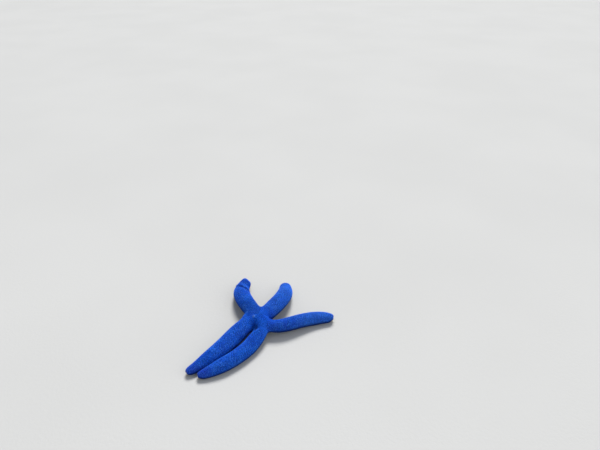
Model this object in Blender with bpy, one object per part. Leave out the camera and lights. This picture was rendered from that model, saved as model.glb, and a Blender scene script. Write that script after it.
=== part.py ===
"""A blue starfish at life size, resting on its underside: a small disc, five round arms with
blunt tips, a furrow with tube feet under each arm that runs to the mouth, and the sieve plate.

Metres, +Z up. The floor is Z = 0 and +Y runs away from the viewer. The origin is on the floor,
under the middle of the animal's bounding box.
"""

import math
import random
from typing import NamedTuple

import bmesh
import bpy
import numpy as np
from mathutils import Vector
from mathutils.bvhtree import BVHTree


class Arm(NamedTuple):
    """One arm. Headings are in degrees from +X, counter-clockwise seen from above."""

    length: float  # along its middle, from the disc's centre
    headings: tuple  # of its middle, at even stations from the disc's centre to the tip
    breadths: tuple  # millimetres across it, at BREADTH_STATIONS
    lifts: tuple  # millimetres from the floor to its underside, at LIFT_STATIONS; pressed on it if below 0
    web: float  # where the cage sets the notch on its left, as a share of where the arms' sides meet
    rim: float  # millimetres by which the notch's upper edge is raised
    blunt: tuple  # breadths of the two rings that close its tip, as shares of the last breadth


# The arms, counter-clockwise seen from above
ARMS = {
    "right": Arm(
        length=0.1060,
        headings=(-62, -5, 20, 19, 5, -19),
        breadths=(16.8, 17.0, 19.2, 19.6, 19.4, 15.0),
        lifts=(7.0, 6.0, 4.5, 2.0, -0.2, 0.0, 3.0),
        web=0.67,
        rim=3.4,
        blunt=(0.70, 0.34),
    ),
    "back_right": Arm(
        length=0.0932,
        headings=(59, 48, 51, 68, 83, 92),
        breadths=(21.8, 21.8, 23.4, 23.0, 21.2, 17.6),
        lifts=(7.0, 7.5, 8.0, 6.5, 2.5, -0.3, 0.0),
        web=1.18,
        rim=1.2,
        blunt=(0.90, 0.58),
    ),
    "back_left": Arm(
        length=0.1000,
        headings=(116, 119, 114, 100, 82, 30),
        breadths=(21.0, 21.0, 22.6, 23.2, 22.4, 17.6),
        lifts=(7.0, 7.0, 7.5, 6.0, -0.3, -0.4, 7.0),
        web=1.50,
        rim=3.0,
        blunt=(0.90, 0.58),
    ),
    "left": Arm(
        length=0.1202,
        headings=(172, 218.5, 230, 223, 216.5, 213.5),
        breadths=(19.6, 21.4, 24.4, 21.8, 18.0, 12.4),
        lifts=(7.0, 4.0, 0.0, 0.0, 0.0, 0.0, 1.5),
        web=0.98,
        rim=-3.4,
        blunt=(0.82, 0.46),
    ),
    "front": Arm(
        length=0.1188,
        headings=(280, 241, 226, 215, 204, 195),
        breadths=(19.4, 19.4, 20.4, 19.6, 18.2, 12.6),
        lifts=(7.0, 4.0, 0.0, 0.0, 0.0, 0.0, 1.0),
        web=1.04,
        rim=0.0,
        blunt=(0.76, 0.40),
    ),
}
MILLIMETRE = 0.001
LIFT_STATIONS = (0.0, 0.2, 0.4, 0.6, 0.75, 0.87, 1.0)  # shares of the arm's length
BREADTH_STATIONS = (0.0, 0.15, 0.35, 0.60, 0.78, 0.92)  # the last breadth holds on to the tip

# Cross-section of an arm, as shares of half its breadth
RISE = 0.84  # from its middle line to the top
DEPTH = 0.76  # from its middle line to the underside
SIDE_DROP = 0.50  # height of the lower side point, as a share of the depth
SIDE_TUCK = 0.90  # breadth there
FLAT_OUT = 0.60  # outer edge of the flat underside
SMOOTHING = 1.047  # the subdivision draws a ring of twelve points in by this much
BED = 0.0007  # how far the cage reaches below the floor, so that flats form on it

# The furrow under each arm
FURROW_HALF = 0.0023
FURROW_DEPTH = 0.0032
FURROW_WALL = 0.72  # its half width part way up, as a share of the half width at the rim
FURROW_TIP = 0.60  # its size at the tip, as a share of its size at the root

# The tube feet, in pairs along each furrow, each with a sucker at its end
FOOT_SPACING = 0.0060
FOOT_MARGIN = 0.0014  # from a cut to the nearest pair
FOOT_ASIDE = 0.00092  # from the middle of the furrow, at the root of the arm
FOOT_RADIUS = 0.00048
FOOT_SIDES = 5
FOOT_WAIST = 0.80  # radius of the stem just above the sucker, as a share of its radius
FOOT_SUCKER = 1.45  # radius of the sucker, as a share of the stem's
FOOT_FLARE = 1.1  # height of the sucker, in radii of the stem
FOOT_SUNK = 0.0008
FOOT_REACH = 0.0022  # how far it hangs out of the furrow where the arm is off the floor
FOOT_CLEARANCE = 0.0003  # from the sucker to the floor
FOOT_LEAN = 0.16  # greatest lean, as a slope
FOOT_SHORTER = 0.25  # greatest share by which one is shorter than its place allows
FOOT_SEED = 2
FOOT_LAST = 0.975  # share of the arm's length at which its last pair may stand
MOUTH_RIM = 0.0062  # the first pair is this far from the middle of the mouth

# The disc
PARTING_SHARE = 0.25  # neighbouring arms part within this share of their length
TOP_RING = 0.5  # the ring of points on top, as a share of the distance to the arms
TOP_CROWN = 0.0014
MOUTH_RADIUS = 0.0040
MOUTH_DEPTH = 0.0048

# The cage and the cuts
RING_SHARES = (0.0, 0.07, 0.17, 0.28, 0.39, 0.50, 0.61, 0.72, 0.82, 0.91)
CLOSING_SHARES = (0.960, 0.994)
PATH_STEPS = 120
LEVELS = 1
CUT_GAP = 0.0003
GAP_ON_SLOPE = 1.15  # measured straight down, the gap under the sieve plate is this much wider
CUT_STATIONS = {"base": None, "middle": 0.44, "outer": 0.70, "tip": 0.955}  # None: at the disc
DISC_MARGIN = 0.0048  # how far outside the notches the arms are parted from the disc

# The sieve plate, a low dome between the two arms on the left
SIEVE_PLACE = (-0.0093, -0.0012)  # from the disc's centre
SIEVE_RADIUS = 0.0020
SIEVE_RISE = 0.0009
SIEVE_SIDES = 16
SIEVE_RINGS = ((0.5, 0.0), (1.0, 0.0), (1.0, 0.45), (0.78, 0.82), (0.4, 1.0))  # shares of radius and rise
ABOVE = 0.1  # high enough to look down on the whole animal

COLOURS = {
    "disc": ((0.018, 0.085, 0.52, 1.0), 0.55),
    "arm": ((0.020, 0.095, 0.56, 1.0), 0.55),
    "tip": ((0.030, 0.090, 0.36, 1.0), 0.50),
    "sieve": ((0.20, 0.33, 0.70, 1.0), 0.65),
}


def curve(stations, values, shares, level=True):
    """Smooth curve through the values. Where level is set it never overshoots them."""
    stations = np.asarray(stations, float)
    values = np.asarray(values, float)
    steps = np.diff(stations)
    rises = np.diff(values) / steps
    slopes = np.concatenate([rises[:1], (rises[1:] + rises[:-1]) / 2.0, rises[-1:]])
    if level:
        for i in range(1, len(values) - 1):
            before, after = rises[i - 1], rises[i]
            slopes[i] = 2.0 * before * after / (before + after) if before * after > 0.0 else 0.0
    span = np.clip(np.searchsorted(stations, shares) - 1, 0, len(steps) - 1)
    u = (shares - stations[span]) / steps[span]
    start = values[span] * (1.0 + 2.0 * u) * (1.0 - u) ** 2 + slopes[span] * steps[span] * u * (1.0 - u) ** 2
    end = values[span + 1] * u**2 * (3.0 - 2.0 * u) + slopes[span + 1] * steps[span] * u**2 * (u - 1.0)
    return start + end


class MiddleLine:
    """The middle line of one arm, with its frame and its half breadth at any share of its length."""

    def __init__(self, arm):
        shares = np.linspace(0.0, 1.0, PATH_STEPS + 1)
        even = np.linspace(0.0, 1.0, len(arm.headings))
        angles = np.radians(curve(even, arm.headings, shares, level=False))
        middles = (angles[1:] + angles[:-1]) / 2.0
        step = arm.length / PATH_STEPS
        halves = curve((*BREADTH_STATIONS, 1.0), (*arm.breadths, arm.breadths[-1]), shares) * MILLIMETRE / 2.0
        self.length = arm.length
        self.shares = shares
        self.angles = angles
        self.halves = halves
        self.x = np.concatenate([[0.0], np.cumsum(np.cos(middles) * step)])
        self.y = np.concatenate([[0.0], np.cumsum(np.sin(middles) * step)])
        self.z = curve(LIFT_STATIONS, arm.lifts, shares) * MILLIMETRE + DEPTH * halves

    def at(self, share, values):
        return float(np.interp(share, self.shares, values))

    def point(self, share):
        return Vector([self.at(share, values) for values in (self.x, self.y, self.z)])

    def half(self, share):
        return self.at(share, self.halves)

    def side(self, share):
        """Unit vector to the arm's left."""
        angle = self.at(share, self.angles)
        return Vector((-math.sin(angle), math.cos(angle), 0.0))

    def ahead(self, share):
        """Unit vector along the arm, towards its tip."""
        nudge = 1.0 / PATH_STEPS
        return (self.point(min(share + nudge, 1.0)) - self.point(max(share - nudge, 0.0))).normalized()

    def up(self, share):
        return self.ahead(share).cross(self.side(share))

    def furrow(self, share):
        """Size of the furrow there, against its size at the root."""
        return 1.0 + (FURROW_TIP - 1.0) * share


def section(half, furrow):
    """Sixteen points of the cage round an arm, from the top round its left side, as (left, up)."""
    rise, depth, side = RISE * half * SMOOTHING, DEPTH * half, half * SMOOTHING
    floor = -depth - BED
    left = [
        (side * math.cos(math.radians(angle)), rise * math.sin(math.radians(angle)))
        for angle in (60.0, 30.0, 0.0)
    ]
    left.append((side * SIDE_TUCK, -depth * SIDE_DROP))
    left.append((half * FLAT_OUT, floor))
    left.append((FURROW_HALF * furrow, floor))
    left.append((FURROW_HALF * FURROW_WALL * furrow, -depth + FURROW_DEPTH * furrow / 2.0))
    right = [(-across, height) for across, height in reversed(left)]
    return [(0.0, rise), *left, (0.0, -depth + FURROW_DEPTH * furrow), *right]


def parting(line, neighbour):
    """Where the left side of one arm leaves the right side of the next: its two shares and its place."""
    def edge(arm_line, sign):
        normals = np.stack([-np.sin(arm_line.angles), np.cos(arm_line.angles)], axis=1)
        middle = np.stack([arm_line.x, arm_line.y], axis=1)
        return middle + sign * normals * arm_line.halves[:, None]

    near = line.shares <= PARTING_SHARE
    left, right = edge(line, 1.0)[near], edge(neighbour, -1.0)[near]
    gaps = np.linalg.norm(left[:, None, :] - right[None, :, :], axis=2)
    i, j = np.unravel_index(np.argmin(gaps), gaps.shape)
    place = (left[i] + right[j]) / 2.0
    return line.shares[i], neighbour.shares[j], Vector((*place, 0.0))


class Cage:
    """The coarse cage of the whole animal, which the subdivision rounds."""

    def __init__(self, lines):
        self.lines = lines
        self.webs = [arm.web for arm in ARMS.values()]
        self.rims = [arm.rim for arm in ARMS.values()]
        self.blunts = [arm.blunt for arm in ARMS.values()]
        self.mesh = bmesh.new()
        count = len(lines)
        self.notches = [parting(lines[i], lines[(i + 1) % count]) for i in range(count)]
        self.columns = [self.column(i) for i in range(count)]
        self.rings = [self.arm_rings(i) for i in range(count)]
        for rings in self.rings:
            self.skin_arm(rings)
        self.skin_top()
        self.skin_underside()
        bmesh.ops.recalc_face_normals(self.mesh, faces=self.mesh.faces)

    def vertex(self, place):
        return self.mesh.verts.new(place)

    def column(self, i):
        """The four points that two neighbouring arms share in the notch between them, top first."""
        line, neighbour = self.lines[i], self.lines[(i + 1) % len(self.lines)]
        share, next_share, place = self.notches[i]
        half = (line.half(share) + neighbour.half(next_share)) / 2.0
        height = (line.point(share).z + neighbour.point(next_share).z) / 2.0
        points = section(half, 1.0)[2:6]
        widest = points[1][0]
        pulled = [place * (self.webs[i] * across / widest) for across, _ in points]
        rims = (self.rims[i] * MILLIMETRE, 0.0, 0.0, 0.0)
        return [
            self.vertex((spot.x, spot.y, height + up + rim)) for spot, (_, up), rim in zip(pulled, points, rims)
        ]

    def root_share(self, i, across):
        """Where the arm's first ring lies, for a point that far to the left, from -1 to 1."""
        left = self.notches[i][0]
        right = self.notches[i - 1][1]
        middle = (left + right) / 2.0
        return middle + abs(across) * ((left if across > 0.0 else right) - middle)

    def ring_point(self, i, k, ring_share, breadth=1.0):
        line = self.lines[i]
        across = section(1.0, FURROW_HALF)[k][0]
        root = self.root_share(i, max(-1.0, min(1.0, across)))
        share = root + (1.0 - root) * ring_share
        left, up = section(line.half(share), line.furrow(share))[k]
        if breadth != 1.0:
            left, up = left * breadth, up * breadth
        return line.point(share) + line.side(share) * left + line.up(share) * up

    def arm_rings(self, i):
        left, right = self.columns[i], self.columns[i - 1]
        own = {k: self.vertex(self.ring_point(i, k, 0.0)) for k in (0, 1, *range(6, 11), 15)}
        first = [own[0], own[1], *left, *(own[k] for k in range(6, 11)), *reversed(right), own[15]]
        rings = [first]
        for ring_share in RING_SHARES[1:]:
            rings.append([self.vertex(self.ring_point(i, k, ring_share)) for k in range(16)])
        for ring_share, breadth in zip(CLOSING_SHARES, self.blunts[i]):
            rings.append([self.vertex(self.ring_point(i, k, ring_share, breadth)) for k in range(16)])
        return rings

    def skin_arm(self, rings):
        for inner, outer in zip(rings, rings[1:]):
            for k in range(16):
                after = (k + 1) % 16
                self.mesh.faces.new((inner[k], inner[after], outer[after], outer[k]))
        self.mesh.faces.new(rings[-1])

    def close_ring(self, outer, inner, centre):
        """Faces between two rings of points, and from the inner one to a point in the middle."""
        count = len(outer)
        for k in range(count):
            after = (k + 1) % count
            self.mesh.faces.new((outer[k], outer[after], inner[after], inner[k]))
        middle = self.vertex(centre)
        for k in range(0, count, 2):
            self.mesh.faces.new((inner[k], inner[k + 1], inner[(k + 2) % count], middle))

    def skin_top(self):
        outer = [rings[0][k] for rings in self.rings for k in (14, 15, 0, 1)]
        top = max(vertex.co.z for vertex in outer) + TOP_CROWN
        centre = Vector((0.0, 0.0, top))
        inner = [self.vertex(centre.lerp(vertex.co, TOP_RING)) for vertex in outer]
        for vertex in inner:
            vertex.co.z = top + (vertex.co.z - top) * TOP_RING
        self.close_ring(outer, inner, centre)

    def skin_underside(self):
        """The underside of the disc, where the furrows meet in the mouth."""
        outer, inner = [], []
        for i, rings in enumerate(self.rings):
            line = self.lines[i]
            root = line.point(self.root_share(i, 0.0))
            out = Vector((root.x, root.y, 0.0)).normalized()
            side = Vector((-out.y, out.x, 0.0))
            under = line.point(0.0).z - DEPTH * line.half(0.0)
            corner = rings[0][11].co
            jaw = Vector((corner.x, corner.y, 0.0)).normalized() * MOUTH_RADIUS
            outer.append(rings[0][11])
            inner.append(self.vertex((jaw.x, jaw.y, under)))
            for k in (10, 9, 8, 7, 6):
                across, up = section(line.half(0.0), 1.0)[k]
                place = out * MOUTH_RADIUS + side * across * FURROW_WALL
                outer.append(rings[0][k])
                inner.append(self.vertex((place.x, place.y, line.point(0.0).z + up)))
        roof = self.lines[0].point(0.0).z - DEPTH * self.lines[0].half(0.0) + MOUTH_DEPTH
        self.close_ring(outer, inner, Vector((0.0, 0.0, roof)))


def mesh_of(shape, name):
    mesh = bpy.data.meshes.new(name)
    shape.to_mesh(mesh)
    shape.free()
    return mesh


def whole_body(lines):
    """The whole animal as one rounded mesh, flat where it lies on the floor, centred over the origin."""
    cage = Cage(lines)
    body = bpy.data.objects.new("body_cage", mesh_of(cage.mesh, "body_cage"))
    bpy.context.scene.collection.objects.link(body)
    rounding = body.modifiers.new("rounding", "SUBSURF")
    rounding.levels = rounding.render_levels = LEVELS
    graph = bpy.context.evaluated_depsgraph_get()
    mesh = bpy.data.meshes.new_from_object(body.evaluated_get(graph))
    bpy.data.objects.remove(body)
    for vertex in mesh.vertices:
        vertex.co.z = max(vertex.co.z, 0.0)
    return mesh, cage.notches


def keep_side(shape, place, direction, faces=None):
    """Cuts the mesh, or only some of its faces, at a plane and keeps what lies ahead of it."""
    faces = list(shape.faces) if faces is None else faces
    edges = dict.fromkeys(edge for face in faces for edge in face.edges)
    vertices = dict.fromkeys(vertex for face in faces for vertex in face.verts)
    geometry = [*vertices, *edges, *faces]
    bmesh.ops.bisect_plane(shape, geom=geometry, plane_co=place, plane_no=direction, clear_inner=True)


def faces_of(shape, lines, i):
    """The faces that lie nearest to the middle line of one arm."""
    shape.faces.ensure_lookup_table()
    centres = np.array([face.calc_center_median()[:] for face in shape.faces])
    distances = []
    for line in lines:
        middle = np.stack([line.x, line.y, line.z], axis=1)
        distances.append(np.linalg.norm(centres[:, None, :] - middle, axis=2).min(axis=1))
    return [face for face, nearest in zip(shape.faces, np.argmin(distances, axis=0)) if nearest == i]


def connected(start):
    """The vertices of the surface that a vertex belongs to."""
    found, waiting = {start}, [start]
    while waiting:
        for edge in waiting.pop().link_edges:
            for vertex in edge.verts:
                if vertex not in found:
                    found.add(vertex)
                    waiting.append(vertex)
    return found


def keep_only(shape, kept):
    bmesh.ops.delete(shape, geom=[v for v in shape.verts if v not in kept], context="VERTS")


def keep_largest(shape):
    """Keeps the surface with the most vertices."""
    largest, left = set(), set(shape.verts)
    while left:
        surface = connected(next(iter(left)))
        left -= surface
        largest = max(largest, surface, key=len)
    keep_only(shape, largest)


def keep_nearest(shape, place):
    """Keeps the surface that comes nearest to a place, and closes its cut ends."""
    keep_only(shape, connected(min(shape.verts, key=lambda vertex: (vertex.co - place).length)))
    bmesh.ops.holes_fill(shape, edges=[e for e in shape.edges if e.is_boundary], sides=0)
    bmesh.ops.recalc_face_normals(shape, faces=shape.faces)


def tube_foot(root, end, radius):
    """A closed mesh: a round stem from its sunk root, which flares into a flat sucker."""
    shape = bmesh.new()
    axis = end - root
    turn = axis.to_track_quat("Z", "Y")
    waist = 1.0 - FOOT_FLARE * radius / axis.length
    rings = []
    for along, breadth in ((0.0, 1.0), (waist, FOOT_WAIST), (1.0, FOOT_SUCKER)):
        ring = []
        for k in range(FOOT_SIDES):
            angle = math.tau * k / FOOT_SIDES
            out = Vector((math.cos(angle), math.sin(angle), 0.0)) * radius * breadth
            ring.append(shape.verts.new(root + axis * along + turn @ out))
        rings.append(ring)
    for lower, upper in zip(rings, rings[1:]):
        for k in range(FOOT_SIDES):
            after = (k + 1) % FOOT_SIDES
            shape.faces.new((lower[k], lower[after], upper[after], upper[k]))
    shape.faces.new(rings[0][::-1])
    shape.faces.new(rings[-1])
    return mesh_of(shape, "tube_foot")


def tube_feet(line, start, end, surface, draw):
    """Pairs of tube feet in the furrow of one length of an arm, between two shares of the arm's length."""
    margin = FOOT_MARGIN / line.length
    first, last = start + margin, end - margin
    count = 1 + round((last - first) * line.length / FOOT_SPACING)
    feet = []
    for share in np.linspace(first, last, count) if count > 1 else [(first + last) / 2.0]:
        size = line.furrow(share)
        ahead, side, up = line.ahead(share), line.side(share), line.up(share)
        rim = line.point(share) - up * line.half(share) * DEPTH
        for hand in (-1.0, 1.0):
            below = rim + side * hand * FOOT_ASIDE * size - up * FOOT_REACH
            roof = surface.ray_cast(below, up)[0]
            slope = ahead * draw.uniform(-FOOT_LEAN, FOOT_LEAN) + side * hand * draw.uniform(0.0, FOOT_LEAN)
            down = (slope - up).normalized()
            radius = FOOT_RADIUS * size
            flat = math.sqrt(1.0 - down.z**2)
            room = (roof.z - FOOT_CLEARANCE - FOOT_SUCKER * radius * flat) / -down.z
            length = min(room, (roof - rim).dot(up) + FOOT_REACH * draw.uniform(1.0 - FOOT_SHORTER, 1.0))
            feet.append(tube_foot(roof - down * FOOT_SUNK, roof + down * length, radius))
    return feet


def fused(shape, pieces):
    """The mesh with the closed pieces joined to it as one body, of which the largest surface is kept."""
    body = bpy.data.objects.new("body", mesh_of(shape, "body"))
    joined = bpy.data.collections.new("pieces")
    for piece in pieces:
        joined.objects.link(bpy.data.objects.new("piece", piece))
    bpy.context.scene.collection.objects.link(body)
    union = body.modifiers.new("union", "BOOLEAN")
    union.operation = "UNION"
    union.solver = "MANIFOLD"
    union.operand_type = "COLLECTION"
    union.collection = joined
    mesh = bpy.data.meshes.new_from_object(body.evaluated_get(bpy.context.evaluated_depsgraph_get()))
    for piece in (*joined.objects, body):
        bpy.data.objects.remove(piece)
    bpy.data.collections.remove(joined)
    shape = bmesh.new()
    shape.from_mesh(mesh)
    bpy.data.meshes.remove(mesh)
    keep_largest(shape)
    return shape


def material(kind):
    made = bpy.data.materials.get(kind)
    if made is None:
        colour, roughness = COLOURS[kind]
        made = bpy.data.materials.new(kind)
        made.use_nodes = True
        shader = made.node_tree.nodes["Principled BSDF"]
        shader.inputs["Base Color"].default_value = colour
        shader.inputs["Roughness"].default_value = roughness
        shader.inputs["Metallic"].default_value = 0.0
    return made


def add_node(name, shape, origin, kind, root):
    """A named object from a mesh in the animal's own frame, with its origin at a place on it."""
    bmesh.ops.translate(shape, verts=shape.verts, vec=-origin)
    mesh = mesh_of(shape, name)
    mesh.shade_smooth()
    mesh.materials.append(material(kind))
    node = bpy.data.objects.new(name, mesh)
    bpy.context.scene.collection.objects.link(node)
    node.parent = root
    node.location = origin
    return node


def arm_starts(line, notches, i):
    """The names of an arm's lengths and the share at which each starts, and the arm's end."""
    root = max(notches[i][0], notches[i - 1][1]) + DISC_MARGIN / line.length
    starts = [(part, root if share is None else share) for part, share in CUT_STATIONS.items()]
    return starts, [share for _, share in starts[1:]] + [None]


def add_arm(name, line, starts, ends, body, root, draw):
    """The lengths of one arm, each parted from the one before it by a thin cut."""
    for (part, start), end in zip(starts, ends):
        shape = bmesh.new()
        shape.from_mesh(body)
        origin, ahead = line.point(start), line.ahead(start)
        keep_side(shape, origin + ahead * CUT_GAP / 2.0, ahead)
        if end is not None:
            ahead = line.ahead(end)
            keep_side(shape, line.point(end) - ahead * CUT_GAP / 2.0, -ahead)
        middle = (start + (1.0 if end is None else end)) / 2.0
        keep_nearest(shape, line.point(middle) + line.up(middle) * line.half(middle) * RISE)
        feet = tube_feet(line, start, FOOT_LAST if end is None else end, BVHTree.FromBMesh(shape), draw)
        shape = fused(shape, feet)
        add_node(f"arm_{name}_{part}", shape, origin, "tip" if part == "tip" else "arm", root)


def add_disc(lines, roots, body, root, draw):
    shape = bmesh.new()
    shape.from_mesh(body)
    for i, (line, start) in enumerate(zip(lines, roots)):
        ahead = line.ahead(start)
        keep_side(shape, line.point(start) - ahead * CUT_GAP / 2.0, -ahead, faces_of(shape, lines, i))
    keep_nearest(shape, Vector((0.0, 0.0, lines[0].point(0.0).z)))
    surface = BVHTree.FromBMesh(shape)
    feet = []
    for line, start in zip(lines, roots):
        feet += tube_feet(line, MOUTH_RIM / line.length, start, surface, draw)
    add_node("disc", fused(shape, feet), Vector((0.0, 0.0, 0.0)), "disc", root)
    return surface


def add_sieve_plate(surface, root):
    """The plate follows the disc under it, with a thin gap."""
    shape = bmesh.new()
    place = Vector((*SIEVE_PLACE, 0.0))

    def vertex(radius, angle, rise):
        spot = place + Vector((math.cos(angle), math.sin(angle), 0.0)) * radius
        below = surface.ray_cast(spot + Vector((0.0, 0.0, ABOVE)), Vector((0.0, 0.0, -1.0)))[0]
        return shape.verts.new((spot.x, spot.y, below.z + CUT_GAP * GAP_ON_SLOPE + rise))

    rings = []
    for radius, rise in SIEVE_RINGS:
        angles = [math.tau * k / SIEVE_SIDES for k in range(SIEVE_SIDES)]
        rings.append([vertex(SIEVE_RADIUS * radius, angle, SIEVE_RISE * rise) for angle in angles])
    middles = (vertex(0.0, 0.0, 0.0), vertex(0.0, 0.0, SIEVE_RISE))
    for k in range(SIEVE_SIDES):
        after = (k + 1) % SIEVE_SIDES
        for inner, outer in zip(rings, rings[1:]):
            shape.faces.new((inner[k], inner[after], outer[after], outer[k]))
        for ring, middle in zip((rings[0], rings[-1]), middles):
            shape.faces.new((ring[k], ring[after], middle))
    bmesh.ops.recalc_face_normals(shape, faces=shape.faces)
    add_node("sieve_plate", shape, middles[0].co.copy(), "sieve", root)


def main():
    for old in list(bpy.data.objects):
        bpy.data.objects.remove(old)
    lines = [MiddleLine(arm) for arm in ARMS.values()]
    body, notches = whole_body(lines)
    heights = np.array([vertex.co[:] for vertex in body.vertices])
    middle = (heights.min(axis=0) + heights.max(axis=0)) / 2.0
    root = bpy.data.objects.new("starfish", None)
    bpy.context.scene.collection.objects.link(root)
    root.location = (-middle[0], -middle[1], 0.0)
    roots = []
    draw = random.Random(FOOT_SEED)
    for i, (name, line) in enumerate(zip(ARMS, lines)):
        starts, ends = arm_starts(line, notches, i)
        roots.append(starts[0][1])
        add_arm(name, line, starts, ends, body, root, draw)
    surface = add_disc(lines, roots, body, root, draw)
    add_sieve_plate(surface, root)
    bpy.data.meshes.remove(body)


main()
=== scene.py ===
"""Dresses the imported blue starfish: one skin over all its flesh, the granules that cover it, the
furrow's tube feet and spines, the sieve plate and the tip plates, and the stage that shows it.

Metres, +Z up. The floor is Z = 0 and +Y runs away from the viewer.
"""

import math
import random
from typing import NamedTuple

import bmesh
import bpy
import numpy as np
from bpy.props import FloatProperty, FloatVectorProperty, IntProperty, PointerProperty
from mathutils import Matrix, Vector, noise
from mathutils.bvhtree import BVHTree
from mathutils.kdtree import KDTree


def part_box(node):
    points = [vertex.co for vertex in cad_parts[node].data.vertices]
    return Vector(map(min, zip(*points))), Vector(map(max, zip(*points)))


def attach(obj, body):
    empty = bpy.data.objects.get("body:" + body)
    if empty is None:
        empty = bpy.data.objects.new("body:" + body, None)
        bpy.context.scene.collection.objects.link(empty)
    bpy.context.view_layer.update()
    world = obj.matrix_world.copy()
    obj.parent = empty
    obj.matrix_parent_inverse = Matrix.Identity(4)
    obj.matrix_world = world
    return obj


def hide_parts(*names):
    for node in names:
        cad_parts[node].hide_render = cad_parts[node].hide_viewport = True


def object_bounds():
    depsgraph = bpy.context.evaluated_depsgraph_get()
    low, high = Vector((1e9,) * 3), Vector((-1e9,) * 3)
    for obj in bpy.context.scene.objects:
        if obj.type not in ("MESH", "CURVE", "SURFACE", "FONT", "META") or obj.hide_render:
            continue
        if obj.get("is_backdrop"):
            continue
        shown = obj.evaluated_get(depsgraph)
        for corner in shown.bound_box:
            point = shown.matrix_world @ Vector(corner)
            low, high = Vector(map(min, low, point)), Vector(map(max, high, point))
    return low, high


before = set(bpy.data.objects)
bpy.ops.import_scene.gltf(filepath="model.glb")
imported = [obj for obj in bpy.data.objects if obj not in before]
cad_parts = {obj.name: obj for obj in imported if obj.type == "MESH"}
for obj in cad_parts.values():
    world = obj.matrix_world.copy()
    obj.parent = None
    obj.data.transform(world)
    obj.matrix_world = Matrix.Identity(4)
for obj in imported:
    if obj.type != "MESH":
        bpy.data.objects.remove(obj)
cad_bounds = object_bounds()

bl_info = {
    "name": "Blue starfish",
    "version": (1, 0, 0),
    "blender": (4, 5, 0),
    "location": "3D View > Sidebar > Starfish",
    "description": "Makes the skin, granules, tube feet, spines and plates of a blue starfish",
    "category": "Object",
}


class Arm(NamedTuple):
    """One arm. Headings are in degrees from +X, counter-clockwise seen from above."""

    length: float  # along its middle, from the disc's centre
    headings: tuple  # of its middle, at even stations from the disc's centre to the tip
    breadths: tuple  # millimetres across it, at BREADTH_STATIONS
    lifts: tuple  # millimetres from the floor to its underside, at LIFT_STATIONS; pressed on it if below 0
    web: float  # where the cage sets the notch on its left, as a share of where the arms' sides meet
    rim: float  # millimetres by which the notch's upper edge is raised
    blunt: tuple  # breadths of the two rings that close its tip, as shares of the last breadth


class Crease(NamedTuple):
    """A crease in the skin, by the places that it runs through, from the disc's centre."""

    across: tuple
    along: tuple
    depths: tuple  # shares of its full depth
    arms: tuple  # those that it is on
    width: float
    bank: float  # the height of the bank beside it, as a share of its depth
    bank_side: float  # 1 where the bank is on its far side, -1 where it is on its near side
    shade: float  # how dark the painted shade on its floor is


class Stalk(NamedTuple):
    """One tube foot or spine."""

    place: Vector
    aim: Vector
    reach: float
    girth: float
    bend: Vector  # how far its free end is bent aside


# The arms, counter-clockwise seen from above
ARMS = {
    "right": Arm(
        length=0.1060,
        headings=(-62, -5, 20, 19, 5, -19),
        breadths=(16.8, 17.0, 19.2, 19.6, 19.4, 15.0),
        lifts=(7.0, 6.0, 4.5, 2.0, -0.2, 0.0, 3.0),
        web=0.67,
        rim=3.4,
        blunt=(0.70, 0.34),
    ),
    "back_right": Arm(
        length=0.0932,
        headings=(59, 48, 51, 68, 83, 92),
        breadths=(21.8, 21.8, 23.4, 23.0, 21.2, 17.6),
        lifts=(7.0, 7.5, 8.0, 6.5, 2.5, -0.3, 0.0),
        web=1.18,
        rim=1.2,
        blunt=(0.90, 0.58),
    ),
    "back_left": Arm(
        length=0.1000,
        headings=(116, 119, 114, 100, 82, 30),
        breadths=(21.0, 21.0, 22.6, 23.2, 22.4, 17.6),
        lifts=(7.0, 7.0, 7.5, 6.0, -0.3, -0.4, 7.0),
        web=1.50,
        rim=3.0,
        blunt=(0.90, 0.58),
    ),
    "left": Arm(
        length=0.1202,
        headings=(172, 218.5, 230, 223, 216.5, 213.5),
        breadths=(19.6, 21.4, 24.4, 21.8, 18.0, 12.4),
        lifts=(7.0, 4.0, 0.0, 0.0, 0.0, 0.0, 1.5),
        web=0.98,
        rim=-3.4,
        blunt=(0.82, 0.46),
    ),
    "front": Arm(
        length=0.1188,
        headings=(280, 241, 226, 215, 204, 195),
        breadths=(19.4, 19.4, 20.4, 19.6, 18.2, 12.6),
        lifts=(7.0, 4.0, 0.0, 0.0, 0.0, 0.0, 1.0),
        web=1.04,
        rim=0.0,
        blunt=(0.76, 0.40),
    ),
}
ARM_NAMES = list(ARMS)
MILLIMETRE = 0.001
LIFT_STATIONS = (0.0, 0.2, 0.4, 0.6, 0.75, 0.87, 1.0)  # shares of the arm's length
BREADTH_STATIONS = (0.0, 0.15, 0.35, 0.60, 0.78, 0.92)  # the last breadth holds on to the tip

# Cross-section of an arm, as shares of half its breadth
RISE = 0.84  # from its middle line to the top
DEPTH = 0.76  # from its middle line to the underside
SIDE_DROP = 0.50  # height of the lower side point, as a share of the depth
SIDE_TUCK = 0.90  # breadth there
FLAT_OUT = 0.60  # outer edge of the flat underside
SMOOTHING = 1.047  # the subdivision draws a ring of twelve points in by this much
BED = 0.0007  # how far the cage reaches below the floor, so that flats form on it

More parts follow.
